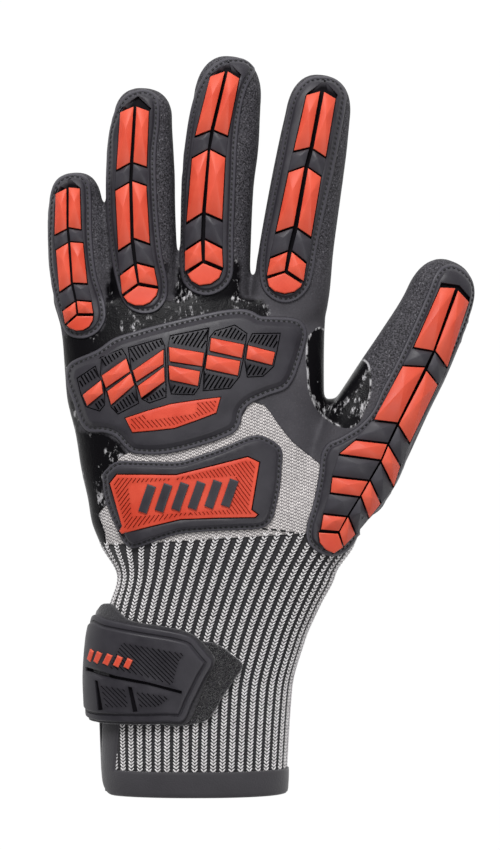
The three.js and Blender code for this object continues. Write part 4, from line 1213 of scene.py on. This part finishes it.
def on_finger(name):
    """Lays a guard on one finger, clear of the finger beside it."""
    middle = np.array(finger_sections[name])[:, :2]
    return lambda flat, height: on_hand(flat, height, middle=middle)


for name, guard in finger_guards.items():
    nodes = [f"{name}_inlay_{pair}" for pair in guard["pairs"]]
    guard_with_blocks(
        name, guard["outline"], guard["recess"], list(guard["pairs"].values()), guard["shield"], nodes,
        on_finger(name), (3.5, 3.5, 3.3),
    )

# Thumb guard: the same moulding, wider, from the thumb tip over the ball of the hand to the cuff,
# with five pairs of orange blocks that grow shorter and broader towards the wrist.
thumb_outline = [
    (68.5, 58), (72.8, 56.1), (76.3, 52), (77.2, 47.7), (76, 41.6), (71.3, 29), (65.6, 15.7),
    (59.8, 4.5), (53.7, -7), (49.7, -18.5), (44.3, -27.5), (37.1, -35.4), (33.9, -41.2), (30.3, -45.5),
    (25.6, -47.1), (19.9, -45.7), (15.9, -41.9), (15.5, -36.5), (17.7, -29), (19.9, -18.2),
    (20.9, -10.3), (23.1, -6.7), (27.4, -4.7), (34.6, -0.2), (39.2, 5), (42.5, 12.1), (46.5, 19.6),
    (50.1, 26.8), (53.7, 34.7), (56.9, 41.9), (59.8, 48.8), (61.6, 53.4), (64.5, 56.9),
]
thumb_recess = [(70.6, 49.8), (64.3, 50.7), (74.4, 45.7)]
thumb_pairs = [
    [
        [(69.1, 48.9), (63.8, 49.1), (54.1, 27.7), (61, 26.5)],
        [(70.2, 48), (74.2, 44), (66.3, 20.7), (61.9, 26.4)],
    ],
    [
        [(57.9, 20.3), (50, 20.7), (39.7, 1.8), (48, 0.8)],
        [(58.6, 19), (62.7, 14.1), (52.6, -6.4), (48.5, -0.1)],
    ],
    [
        [(44.2, -7.1), (32.9, -5.8), (27.4, -10.4), (42, -12.4)],
        [(44.7, -7.8), (49.1, -15.1), (46.9, -22.1), (42.3, -13.3)],
    ],
    [
        [(37.3, -20.3), (24.8, -18.9), (24.1, -24.1), (34.4, -25.4)],
        [(38.1, -20.3), (42, -28.4), (38.1, -33.3), (35.1, -25.4)],
    ],
    [
        [(29.6, -33.1), (21.6, -32.2), (20.7, -37.3), (27.1, -37.9)],
        [(30.3, -33.1), (33.1, -39.4), (29, -43.4), (27.4, -38.3)],
    ],
]
thumb_shield = [(26.8, -39), (19.9, -38.5), (20.3, -42.1), (22.4, -44.6), (25.4, -45.9), (28.6, -43.9)]


def on_thumb(flat, height):
    return on_hand(flat, height, edge_height=14.0)


guard_with_blocks(
    "thumb", thumb_outline, thumb_recess, thumb_pairs, thumb_shield,
    [f"thumb_inlay_{i}" for i in range(1, 6)],
    on_thumb, (3.6, 3.6, 3.3, 3.3, 3.2),
)

# Knuckle guard: one wide black moulding over the four knuckles, sewn round its edge, with a broad
# bevel up to a raised panel, rows of orange tiles in wells, grip bars and an orange plate.
knuckle_outline = [
    (-71.1, 16.7), (-70.7, 20), (-69.1, 22.3), (-59.3, 26.8), (-53.3, 30.9), (-45.3, 33.5),
    (-37.2, 35.8), (-25.2, 38.7), (-13.3, 41.1), (-6.8, 41.4), (-3.5, 40.5), (-0.8, 39), (4.7, 38.7),
    (10.5, 38.3), (13.7, 37.2), (15.7, 34.5), (15.9, 31.1), (14.8, 26.8), (13, 21.1), (11, 16),
    (8.2, 12.6), (1.5, 10.1), (-4.6, 7.2), (-7, 4.5), (-7.9, 0.5), (-9.7, -2.5), (-15.4, -5.4),
    (-22.4, -7.7), (-29.1, -9.5), (-35.2, -10.6), (-41.3, -10.8), (-46.7, -10.1), (-49.4, -7.9),
    (-52.6, -4.5), (-56.5, -3), (-62.2, -2.7), (-64.9, -0.4), (-68, 7.7),
]
knuckle_tiles = {
    "a1": [(-64.3, 10.5), (-57.7, 15.7), (-57, 11.2), (-62.7, 6.7)],
    "b1": [(-57.4, 17.3), (-48.7, 23.4), (-47.3, 18.9), (-55.9, 13.1)],
    "b2": [(-55.3, 11.8), (-47, 18.1), (-45.8, 14.1), (-54, 7)],
    "c1": [(-46.2, 19.1), (-35.4, 26.6), (-35.4, 21.5), (-45, 15.3)],
    "c2": [(-44.4, 13.6), (-35.2, 20.4), (-34.9, 15.4), (-43.2, 9.5)],
    "d1": [(-33.4, 27.5), (-21, 25.4), (-21.6, 20.7), (-33.1, 22.5)],
    "d2": [(-33.4, 20.9), (-22.4, 18.8), (-23.1, 13.7), (-33.1, 15.9)],
    "e1": [(-18.4, 30.8), (-6.7, 28.4), (-7.5, 23.7), (-18.9, 26.3)],
    "e2": [(-19.7, 24.7), (-8.1, 22.5), (-8.9, 17.4), (-20.4, 19.9)],
    "f1": [(-5.2, 28.1), (4.3, 25.7), (3.3, 21.2), (-5.9, 23.5)],
}
knuckle_cells = [
    [
        (-66.7, 16.6), (-59.7, 21.1), (-58.3, 17.1), (-57, 15.7), (-56.1, 10.3), (-56.2, 6.8),
        (-58.1, 4.5), (-61.5, 5.6), (-63.4, 6.3), (-65.1, 10.4),
    ],
    [
        (-58, 24.1), (-50.2, 27.2), (-48.6, 24.7), (-46.6, 19.3), (-45.1, 14), (-43.9, 7.4),
        (-51.6, 3.4), (-54.2, 6.1), (-56.1, 12.1), (-58.2, 17.5),
    ],
    [
        (-48.2, 27.5), (-36.1, 30.9), (-34.7, 27.9), (-34.3, 20.7), (-34.2, 9.5), (-40.3, 7.4),
        (-42.7, 8.6), (-45.2, 13.9), (-47, 19.3),
    ],
    [
        (-33.2, 31.8), (-19, 34.7), (-20, 26.1), (-21, 20.3), (-22.4, 13.1), (-24.4, 10.3),
        (-32.7, 10.6), (-33.8, 15.7), (-34.1, 26.8),
    ],
    [
        (-17.2, 33.5), (-10, 35.7), (-5.5, 32.6), (-6, 28.4), (-6.8, 22.9), (-8.1, 16.9),
        (-11.5, 12.6), (-21.4, 11.7), (-21.2, 19.3), (-19.1, 31.1),
    ],
    [
        (-3.9, 32.6), (6.5, 32.8), (5.1, 25.4), (4, 20.5), (0.1, 16.9), (-5.7, 16.6), (-6.6, 22.5),
        (-5.8, 28.4),
    ],
]
knuckle_grips = [
    ([(-66, 16.8), (-59.9, 20.4), (-58.6, 17), (-64.7, 13)], -1),
    ([(-57.6, 23.9), (-50.4, 26.6), (-49.4, 25.1), (-57.4, 19.5)], -1),
    ([(-47.8, 27.2), (-36.7, 30.2), (-35.4, 28.3), (-46.4, 21.8)], -1),
    ([(-32.6, 31.3), (-19.6, 33.9), (-20.7, 26.7), (-32.4, 28.7)], 1),
    ([(-16.5, 33), (-10.2, 35), (-6.2, 32.2), (-6.6, 29.5), (-18.1, 31.8)], 1),
    ([(-3.4, 32.1), (5.8, 32.2), (4.7, 26.9), (-4.6, 29.2)], 1),
    ([(-61.4, 6.5), (-56.6, 10.1), (-56.6, 7), (-58.3, 5.1)], -1),
    ([(-53.6, 6.3), (-45.5, 12.4), (-44.6, 8), (-51.6, 4.1)], -1),
    ([(-41.9, 9), (-34.9, 13.7), (-34.7, 10), (-40.3, 8.1)], -1),
    ([(-33.1, 14.5), (-23.3, 12.7), (-24.8, 10.8), (-32.4, 11.1)], 1),
    ([(-20.8, 18.5), (-8.9, 15.9), (-11.8, 13.1), (-21, 12.2)], 1),
    ([(-6.2, 22), (2.9, 19.8), (-0, 17.5), (-5.3, 17.2)], 1),
]
label_outline = [
    (-48.9, 2.2), (-41, 4.8), (-32.7, 7.2), (-24.1, 8.5), (-15.1, 9.6), (-16.6, 4.1), (-23.7, 1.4),
    (-31.4, -1.3), (-39.2, -2.2), (-46.4, -2.8),
]
KNUCKLE_EDGE = (
    (0, 0.35), (0.07, 0.75), (0.3, 1.0), (0.6, 1.08), (1.1, 1.05), (1.2, 0.9), (1.9, 0.9), (2.0, 1.08),
    (2.3, 1.2), (3.3, 2.15), (3.7, 2.3),
)
PANEL = 2.3


def bars_in(outline, slant, pitch, width, keep_out=None, margin=0.0):
    """Slanted grip bars cut to an outline, as thin four-sided outlines."""
    outline = np.array(outline)
    direction = np.array([slant, 1.0]) / math.hypot(slant, 1)
    across = np.array([direction[1], -direction[0]])
    reach = outline @ across
    bars = []
    for place in np.arange(reach.min() + pitch / 2, reach.max(), pitch):
        cuts = []
        for a, b in zip(outline, np.roll(outline, -1, axis=0)):
            da, db = a @ across - place, b @ across - place
            if da * db < 0:
                cuts.append((a + (b - a) * da / (da - db)) @ direction)
        cuts.sort()
        for low, high in zip(cuts[::2], cuts[1::2]):
            spans = [(low + margin, high - margin)]
            if keep_out is not None:
                blocked = []
                for a, b in zip(keep_out, np.roll(keep_out, -1, axis=0)):
                    da, db = a @ across - place, b @ across - place
                    if da * db < 0:
                        blocked.append((a + (b - a) * da / (da - db)) @ direction)
                if len(blocked) > 1:
                    spans = [(low + margin, min(blocked) - margin), (max(blocked) + margin, high - margin)]
            for start, end in spans:
                if end - start > 0.8:
                    base = across * place
                    half = across * width / 2
                    bars.append(np.array([
                        base + direction * start - half, base + direction * end - half,
                        base + direction * end + half, base + direction * start + half,
                    ]))
    return bars


outline = curved(knuckle_outline)
rings = rim(outline, KNUCKLE_EDGE, on_hand)
for cell in knuckle_cells:
    rings += channel(np.array(cell), PANEL, 0.5)
for tile in knuckle_tiles.values():
    rings += well(np.array(tile), 0.12, PANEL, 1.0)
rings += well(np.array(label_outline), 0.2, PANEL, 1.0)
for zone, lean in knuckle_grips:
    for bar in bars_in(zone, 0.62 * lean, 1.32, 0.58, margin=0.2):
        rings += groove(bar, PANEL, 0.8)
knuckle_cover = moulding("knuckle_guard_moulding", rings, on_hand, black_rubber)
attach(knuckle_cover, "root")
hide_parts("knuckle_guard")
sewn("knuckle_guard_stitches", offset(outline, 1.55 * facing(outline, on_hand)), on_hand, 0.97)
for name, tile in knuckle_tiles.items():
    solid = faceted(tile, (3.2, 3.0, 2.95, 3.1), (0.42, 0.38), 3.75, on_hand, 0.9)
    block = blocks_of(f"knuckle_block_{name}", [solid], orange_rubber)
    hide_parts(f"knuckle_tile_{name}")
label = np.array(label_outline)
label_rings = [
    (label, 2.5, False, 0), (offset(label, 0.12), 2.75, False, 0), (offset(label, 0.35), 2.85, True, 0),
]
label_middle = [(-41.7, 1.3), (-40.3, 4.3), (-23, 7.2), (-24.1, 3.8)]
for bar in bars_in(offset(label, 0.9), -0.9, 1.25, 0.34, np.array(label_middle), 0.1):
    label_rings += groove(bar, 2.85, 0.35)
label_plate = moulding("knuckle_label_plate", label_rings, on_hand, orange_rubber, base=0.9)
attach(label_plate, "root")
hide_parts("knuckle_label")

# Badge: a black stitched frame on the back of the hand round an orange inlay with slanted grip
# lines. Where a badge would carry its mark it has a plain row of black bars instead.
badge_outline = [
    (-57.3, -19.3), (-57.2, -17.5), (-55.6, -15.7), (-53.6, -13.9), (-51.1, -13), (-40.6, -13.1),
    (-29.2, -13), (-22.6, -11), (-15.4, -8.5), (-6.6, -4.9), (-3.9, -4), (-1, -3.8), (2.2, -5),
    (5.5, -7.2), (6.9, -9.4), (6.8, -14.9), (6.3, -21.1), (4.7, -29.3), (3.8, -32.7), (2.2, -35.3),
    (-0.5, -36.9), (-7.9, -37.5), (-15.4, -37.8), (-29.2, -38.9), (-34.9, -40.5), (-40.3, -42.4),
    (-43.9, -43.7), (-46.7, -44.2), (-49.3, -42.6), (-51.4, -38.7), (-53.9, -33.6), (-56.6, -25.7),
]
badge_inlay = [
    (-54.5, -21), (-52, -17.9), (-41.7, -17.9), (-30.8, -18), (-18.3, -14.9), (-5.4, -11.6),
    (-1.3, -13.5), (-4.1, -30.3), (-1.9, -32), (-2.8, -32.9), (-16.1, -33.1), (-29.2, -33.6),
    (-39.9, -36.2), (-50.3, -39), (-51.1, -38), (-50.2, -36.2),
]
badge_middle = [(-47.8, -21.1), (-9.7, -18.5), (-11.8, -30), (-46.4, -32.6)]
BADGE_EDGE = (
    (0, 0.35), (0.07, 0.75), (0.3, 1.0), (0.65, 1.05), (0.75, 0.88), (1.4, 0.88), (1.5, 1.08), (1.7, 1.25),
    (2.05, 2.0), (2.3, 2.15),
)
outline = curved(badge_outline)
rings = rim(outline, BADGE_EDGE, on_hand)
inlay = np.array(badge_inlay)
rings += well(inlay, 0.35, 2.15, 1.0)
badge_frame = moulding("badge_frame_moulding", rings, on_hand, black_rubber)
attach(badge_frame, "root")
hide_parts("badge_frame")
sewn("badge_stitches", offset(outline, 1.08), on_hand, 0.95)
inlay_rings = [
    (inlay, 1.9, False, 0), (offset(inlay, 0.12), 2.15, False, 0), (offset(inlay, 0.4), 2.25, True, 0),
]
middle = np.array(badge_middle)
HATCH_TURN = -26
for bar in bars_in(offset(inlay, 1.0), 0.75, 1.2, 0.34, middle, 0.3):
    if bar[:, 0].mean() < HATCH_TURN:
        inlay_rings += groove(bar, 2.25, 0.35)
for bar in bars_in(offset(inlay, 1.0), -0.75, 1.2, 0.34, middle, 0.3):
    if bar[:, 0].mean() >= HATCH_TURN:
        inlay_rings += groove(bar, 2.25, 0.35)
badge_plate = moulding("badge_inlay_plate", inlay_rings, on_hand, orange_rubber, base=0.9)
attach(badge_plate, "root")
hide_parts("badge_inlay")
bars = []
for bar in bars_in(middle, 0.35, 5.4, 3.2, margin=1.2):
    if np.ptp(bar[:, 1]) > 6:
        bars.append(plateau(bar, 3.0, on_hand, 1.9))
points, faces, start = [], [], 0
for bar_points, bar_faces, _ in bars:
    points.append(bar_points)
    faces += [tuple(start + v for v in f) for f in bar_faces]
    start += len(bar_points)
badge_bars = mesh_of("badge_grip_bars", np.vstack(points), faces)
outward(badge_bars)
badge_bars.data.shade_flat()
badge_bars.data.materials.append(black_rubber)
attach(badge_bars, "root")

# Seam between the bare knit and the ribs: a short run of long black stitches by the thumb guard.
seam = [(-0.3, -37.1), (4.4, -37.4), (9.8, -38.3), (15.5, -39.6)]
sewn("cuff_seam_stitches", seam, on_hand, 0.1, pitch=2.9, length=2.1, thick=0.36, closed=False)

# Wrist strap: a black elastic band that comes round the wrist from the palm side and stands off
# the cuff at the little finger side, a moulded guard on it, and the patch of loops it closes on.
loop_outline = [
    (-37, -75.4), (-22.3, -76.8), (-17, -77.7), (-13.3, -79.7), (-10.4, -82.1), (-7.9, -84),
    (-7.1, -85.8), (-8.2, -88), (-9.7, -90.1), (-12.5, -94.1), (-14.9, -97.7), (-16.9, -101.3),
    (-19, -104.2), (-20.8, -105.4), (-37, -105.6),
]
patch_edge = curved(loop_outline)
patch_rings = [
    (patch_edge, 0.35, False, 0), (offset(patch_edge, 0.15), 1.0, False, 0),
    (offset(patch_edge, 0.5), 1.25, True, 0),
]
hooks, tree, shader = new_finish("brushed_loops", 1.0, 0.6)
tufts = noise(tree, 1300, 4)
coloured(tree, shader, fade(tree, tufts, 0.35, 0.7), paint(12, 11, 14), paint(48, 45, 52))
relief(tree, shader, tufts, 0.0006)
patch_piece = moulding("loop_patch_cloth", patch_rings, on_hand, hooks, grid=1.2)
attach(patch_piece, "root")
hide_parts("loop_patch")
pile = np.random.default_rng(11)
low, high = np.array(loop_outline).min(0), np.array(loop_outline).max(0)
spots = pile.uniform(low, high, (5200, 2))
spots = spots[distance_in(spots, curved(loop_outline)) > 0.1]
spots = spots[spots[:, 0] > -32]
turns = pile.uniform(0, math.pi, len(spots))
size = pile.uniform(0.28, 0.55, len(spots))
rings = []
for t, rise in ((-1, 0.9), (-0.75, 1.5), (0, 1.95), (0.75, 1.5), (1, 0.9)):
    centre = spots + np.stack([np.cos(turns), np.sin(turns)], 1) * (size * t)[:, None]
    side = np.stack([-np.sin(turns), np.cos(turns)], 1) * 0.045
    rings.append([
        on_hand(centre + side * w, np.full(len(spots), rise + h))
        for w, h in ((1, 0), (-1, 0.02), (0, 0.09))
    ])
points = np.array(rings).transpose(2, 0, 1, 3).reshape(-1, 3)
faces = [tuple(k * 15 + v for v in f) for k in range(len(spots)) for f in tube_faces(5, 3)]
loop_pile = mesh_of("loop_patch_pile", points, faces)
outward(loop_pile)
loop_pile.data.shade_smooth()
loop_pile.data.materials.append(hooks)
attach(loop_pile, "root")

strap_y = np.arange(-112, -60, 1.0)
strap_x, strap_half, strap_deep = (flowing(wrist_table[:, 0], wrist_table[:, i], strap_y) for i in (1, 2, 3))
bend = np.radians(np.linspace(40, 205, 331))
oval_c, oval_s = squared_oval(bend)
STRAP_RISE, STRAP_BULGE = 1.7, 2.4
growth = STRAP_RISE + STRAP_BULGE * np.clip(-np.cos(bend), 0, 1) ** 2
strap_lines = np.dstack([
    strap_x[:, None] + (strap_half[:, None] + growth) * oval_c,
    strap_deep[:, None] - FLOOR_SINK + (strap_deep[:, None] + growth) * oval_s,
])
stretches = np.linalg.norm(np.diff(strap_lines, axis=1), axis=2)
run_lengths = np.concatenate([np.zeros((len(strap_y), 1)), np.cumsum(stretches, axis=1)], axis=1)
TURN_DOWN = int(np.argmin(np.abs(bend - math.radians(150))))
flat_run = np.where(
    np.arange(len(bend)) < TURN_DOWN, strap_lines[..., 0],
    strap_lines[:, TURN_DOWN, 0][:, None] - (run_lengths - run_lengths[:, TURN_DOWN][:, None]),
)


def round_strap(flat, height):
    """Lays a strap piece round the wrist: across the back as seen, then down the side."""
    flat, height = np.asarray(flat, float), np.asarray(height, float)
    row = np.clip(flat[:, 1] - strap_y[0], 0, len(strap_y) - 1.001)
    low = row.astype(int)
    result = np.zeros((len(flat), 3))
    for shift, weight in ((0, 1 - row % 1), (1, row % 1)):
        for line in np.unique(low + shift):
            pick = low + shift == line
            x = np.interp(-flat[pick, 0], -flat_run[line], strap_lines[line, :, 0])
            z = np.interp(-flat[pick, 0], -flat_run[line], strap_lines[line, :, 1])
            dx = np.interp(-flat[pick, 0] + 0.4, -flat_run[line], strap_lines[line, :, 0]) - x
            dz = np.interp(-flat[pick, 0] + 0.4, -flat_run[line], strap_lines[line, :, 1]) - z
            size = np.hypot(dx, dz) + 1e-9
            result[pick, 0] += weight[pick] * (x + dz / size * height[pick])
            result[pick, 2] += weight[pick] * (z - dx / size * height[pick])
    result[:, 1] = flat[:, 1]
    return result


strap_guard_outline = [
    (-75.9, -77.6), (-73, -71.1), (-62, -68.2), (-55.4, -69.5), (-48.5, -70.7), (-41.7, -71.8),
    (-34.5, -72.9), (-29.8, -73.8), (-25.9, -75), (-23.7, -76.5), (-22.3, -78.3), (-20.1, -81),
    (-17.9, -84), (-21.2, -90.9), (-24.8, -98.2), (-28.4, -105.1), (-34.5, -105.4), (-44.2, -105.7),
    (-55, -105.8), (-59.7, -105.7), (-73, -103.5), (-75.9, -99.1),
]
band_outline = [
    (-78.4, -77.6), (-75.9, -69.6), (-63.7, -66.4), (-60.4, -64.6), (-57.5, -64.1), (-54.3, -64.6),
    (-48.5, -69.3), (-34.5, -71.8), (-25.9, -74), (-21.5, -77.2), (-16.9, -83.7), (-20.1, -90.9),
    (-26.9, -105.8), (-34.5, -106.3), (-55, -106.7), (-59.7, -106.5), (-74.5, -104.9), (-78.4, -99.1),
]
band_rings = [(curved(band_outline), 0.0, False, 0), (offset(curved(band_outline), 0.2), 0.35, True, 0)]
band_cloth, tree, shader = new_finish("elastic_webbing", 0.85, 0.3)
weave = noise(tree, 1700, 2, stretch=(0.5, 1, 1))
coloured(tree, shader, fade(tree, weave, 0.3, 0.7), paint(28, 27, 31), paint(52, 50, 55))
relief(tree, shader, weave, 0.0003)
strap_band = moulding("strap_band_webbing", band_rings, round_strap, band_cloth, base=-1.1)
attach(strap_band, "root")
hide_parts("strap_band")
STRAP_EDGE = (
    (0, 0.4), (0.08, 1.1), (0.35, 1.45), (0.7, 1.55), (2.0, 1.55), (2.3, 1.1), (2.6, 1.1), (2.9, 1.7),
    (3.3, 2.05), (3.6, 2.1),
)
outline = curved(strap_guard_outline)
rings = [(offset(outline, d), h, i == len(STRAP_EDGE) - 1, 0) for i, (d, h) in enumerate(STRAP_EDGE)]
strap_grooves = [
    [
        (-64.4, -86.9), (-64.4, -88.2), (-51.4, -90.5), (-40.6, -92.3), (-28.7, -95.4), (-28.6, -94.3),
        (-40.6, -91.2), (-51.4, -89.3),
    ],
    [(-58.8, -91.2), (-57.5, -91.4), (-55.7, -101.7), (-57.4, -102)],
    [(-47.3, -93), (-45.9, -93.2), (-43.9, -101.8), (-45.5, -102)],
]
for line in strap_grooves:
    rings += groove(np.array(line), 2.1, 0.8)
for zone in (
    [
        (-49.3, -77.6), (-27.7, -81.2), (-29.8, -84), (-32, -92.3), (-40.6, -89.4), (-53.6, -86.6),
    ],
    [(-56.5, -93), (-48.5, -94.1), (-47.1, -100.2), (-54.7, -100.6)],
    [(-44.2, -94.8), (-32.7, -96.6), (-37, -99.9), (-43.1, -100.2)],
):
    for bar in bars_in(zone, -1.0, 1.15, 0.36):
        rings += groove(bar, 2.1, 0.35)
strap_cover = moulding("strap_guard_moulding", rings, round_strap, black_rubber, base=0.1)
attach(strap_cover, "root")
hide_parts("strap_guard")
accent_row = [(-61.9, -80.4), (-46.4, -83), (-46.4, -86.6), (-61.9, -84.4)]
accents = [plateau(b, 2.75, round_strap, 1.9) for b in bars_in(accent_row, 0.45, 3.4, 1.9)]
points, faces, start = [], [], 0
for bar_points, bar_faces, _ in accents:
    points.append(bar_points)
    faces += [tuple(start + v for v in f) for f in bar_faces]
    start += len(bar_points)
strap_accents = mesh_of("strap_accent_bars", np.vstack(points), faces)
outward(strap_accents)
strap_accents.data.shade_flat()
strap_accents.data.materials.append(orange_rubber)
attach(strap_accents, "root")

# Floor, soft light and camera, straight above the back of the hand.
def soft_light(name, place, size, power, aim=(0, 0, 0)):
    lamp = bpy.data.lights.new(name, "AREA")
    lamp.shape, lamp.size, lamp.energy = "DISK", size, power
    light = bpy.data.objects.new(name, lamp)
    light.location = place
    light.rotation_euler = (Vector(aim) - Vector(place)).to_track_quat("-Z", "Y").to_euler()
    bpy.context.collection.objects.link(light)


bpy.ops.object.select_all(action="DESELECT")
bpy.ops.mesh.primitive_plane_add(size=6, location=(0, 0, -0.0004))
floor = bpy.context.object
floor.name = "floor"
white, tree, shader = new_finish("white_sheet", 1.0)
speckle = noise(tree, 40, 2)
tree.links.new(blend(tree, speckle, paint(20, 20, 20), paint(26, 26, 26)), shader.inputs["Base Color"])
shader.inputs["Emission Color"].default_value = (1, 1, 1, 1)
shader.inputs["Emission Strength"].default_value = 1.0
floor.data.materials.append(white)
floor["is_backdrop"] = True

world = bpy.data.worlds.new("studio")
world.use_nodes = True
world.node_tree.nodes["Background"].inputs[0].default_value = (1, 1, 1, 1)
world.node_tree.nodes["Background"].inputs[1].default_value = 0.22
bpy.context.scene.world = world
bpy.context.scene.view_settings.view_transform = "Standard"
soft_light("key", (-0.18, 0.8, 0.72), 0.45, 11)
soft_light("fill", (0.4, -0.35, 0.95), 0.7, 4)

view = bpy.data.cameras.new("camera")
view.lens, view.sensor_width = 135, 36
view.clip_start, view.clip_end = 0.1, 10
camera = bpy.data.objects.new("camera", view)
camera.location = (-0.00457, -0.0002, 1.1675)
bpy.context.collection.objects.link(camera)
bpy.context.scene.camera = camera

low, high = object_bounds()
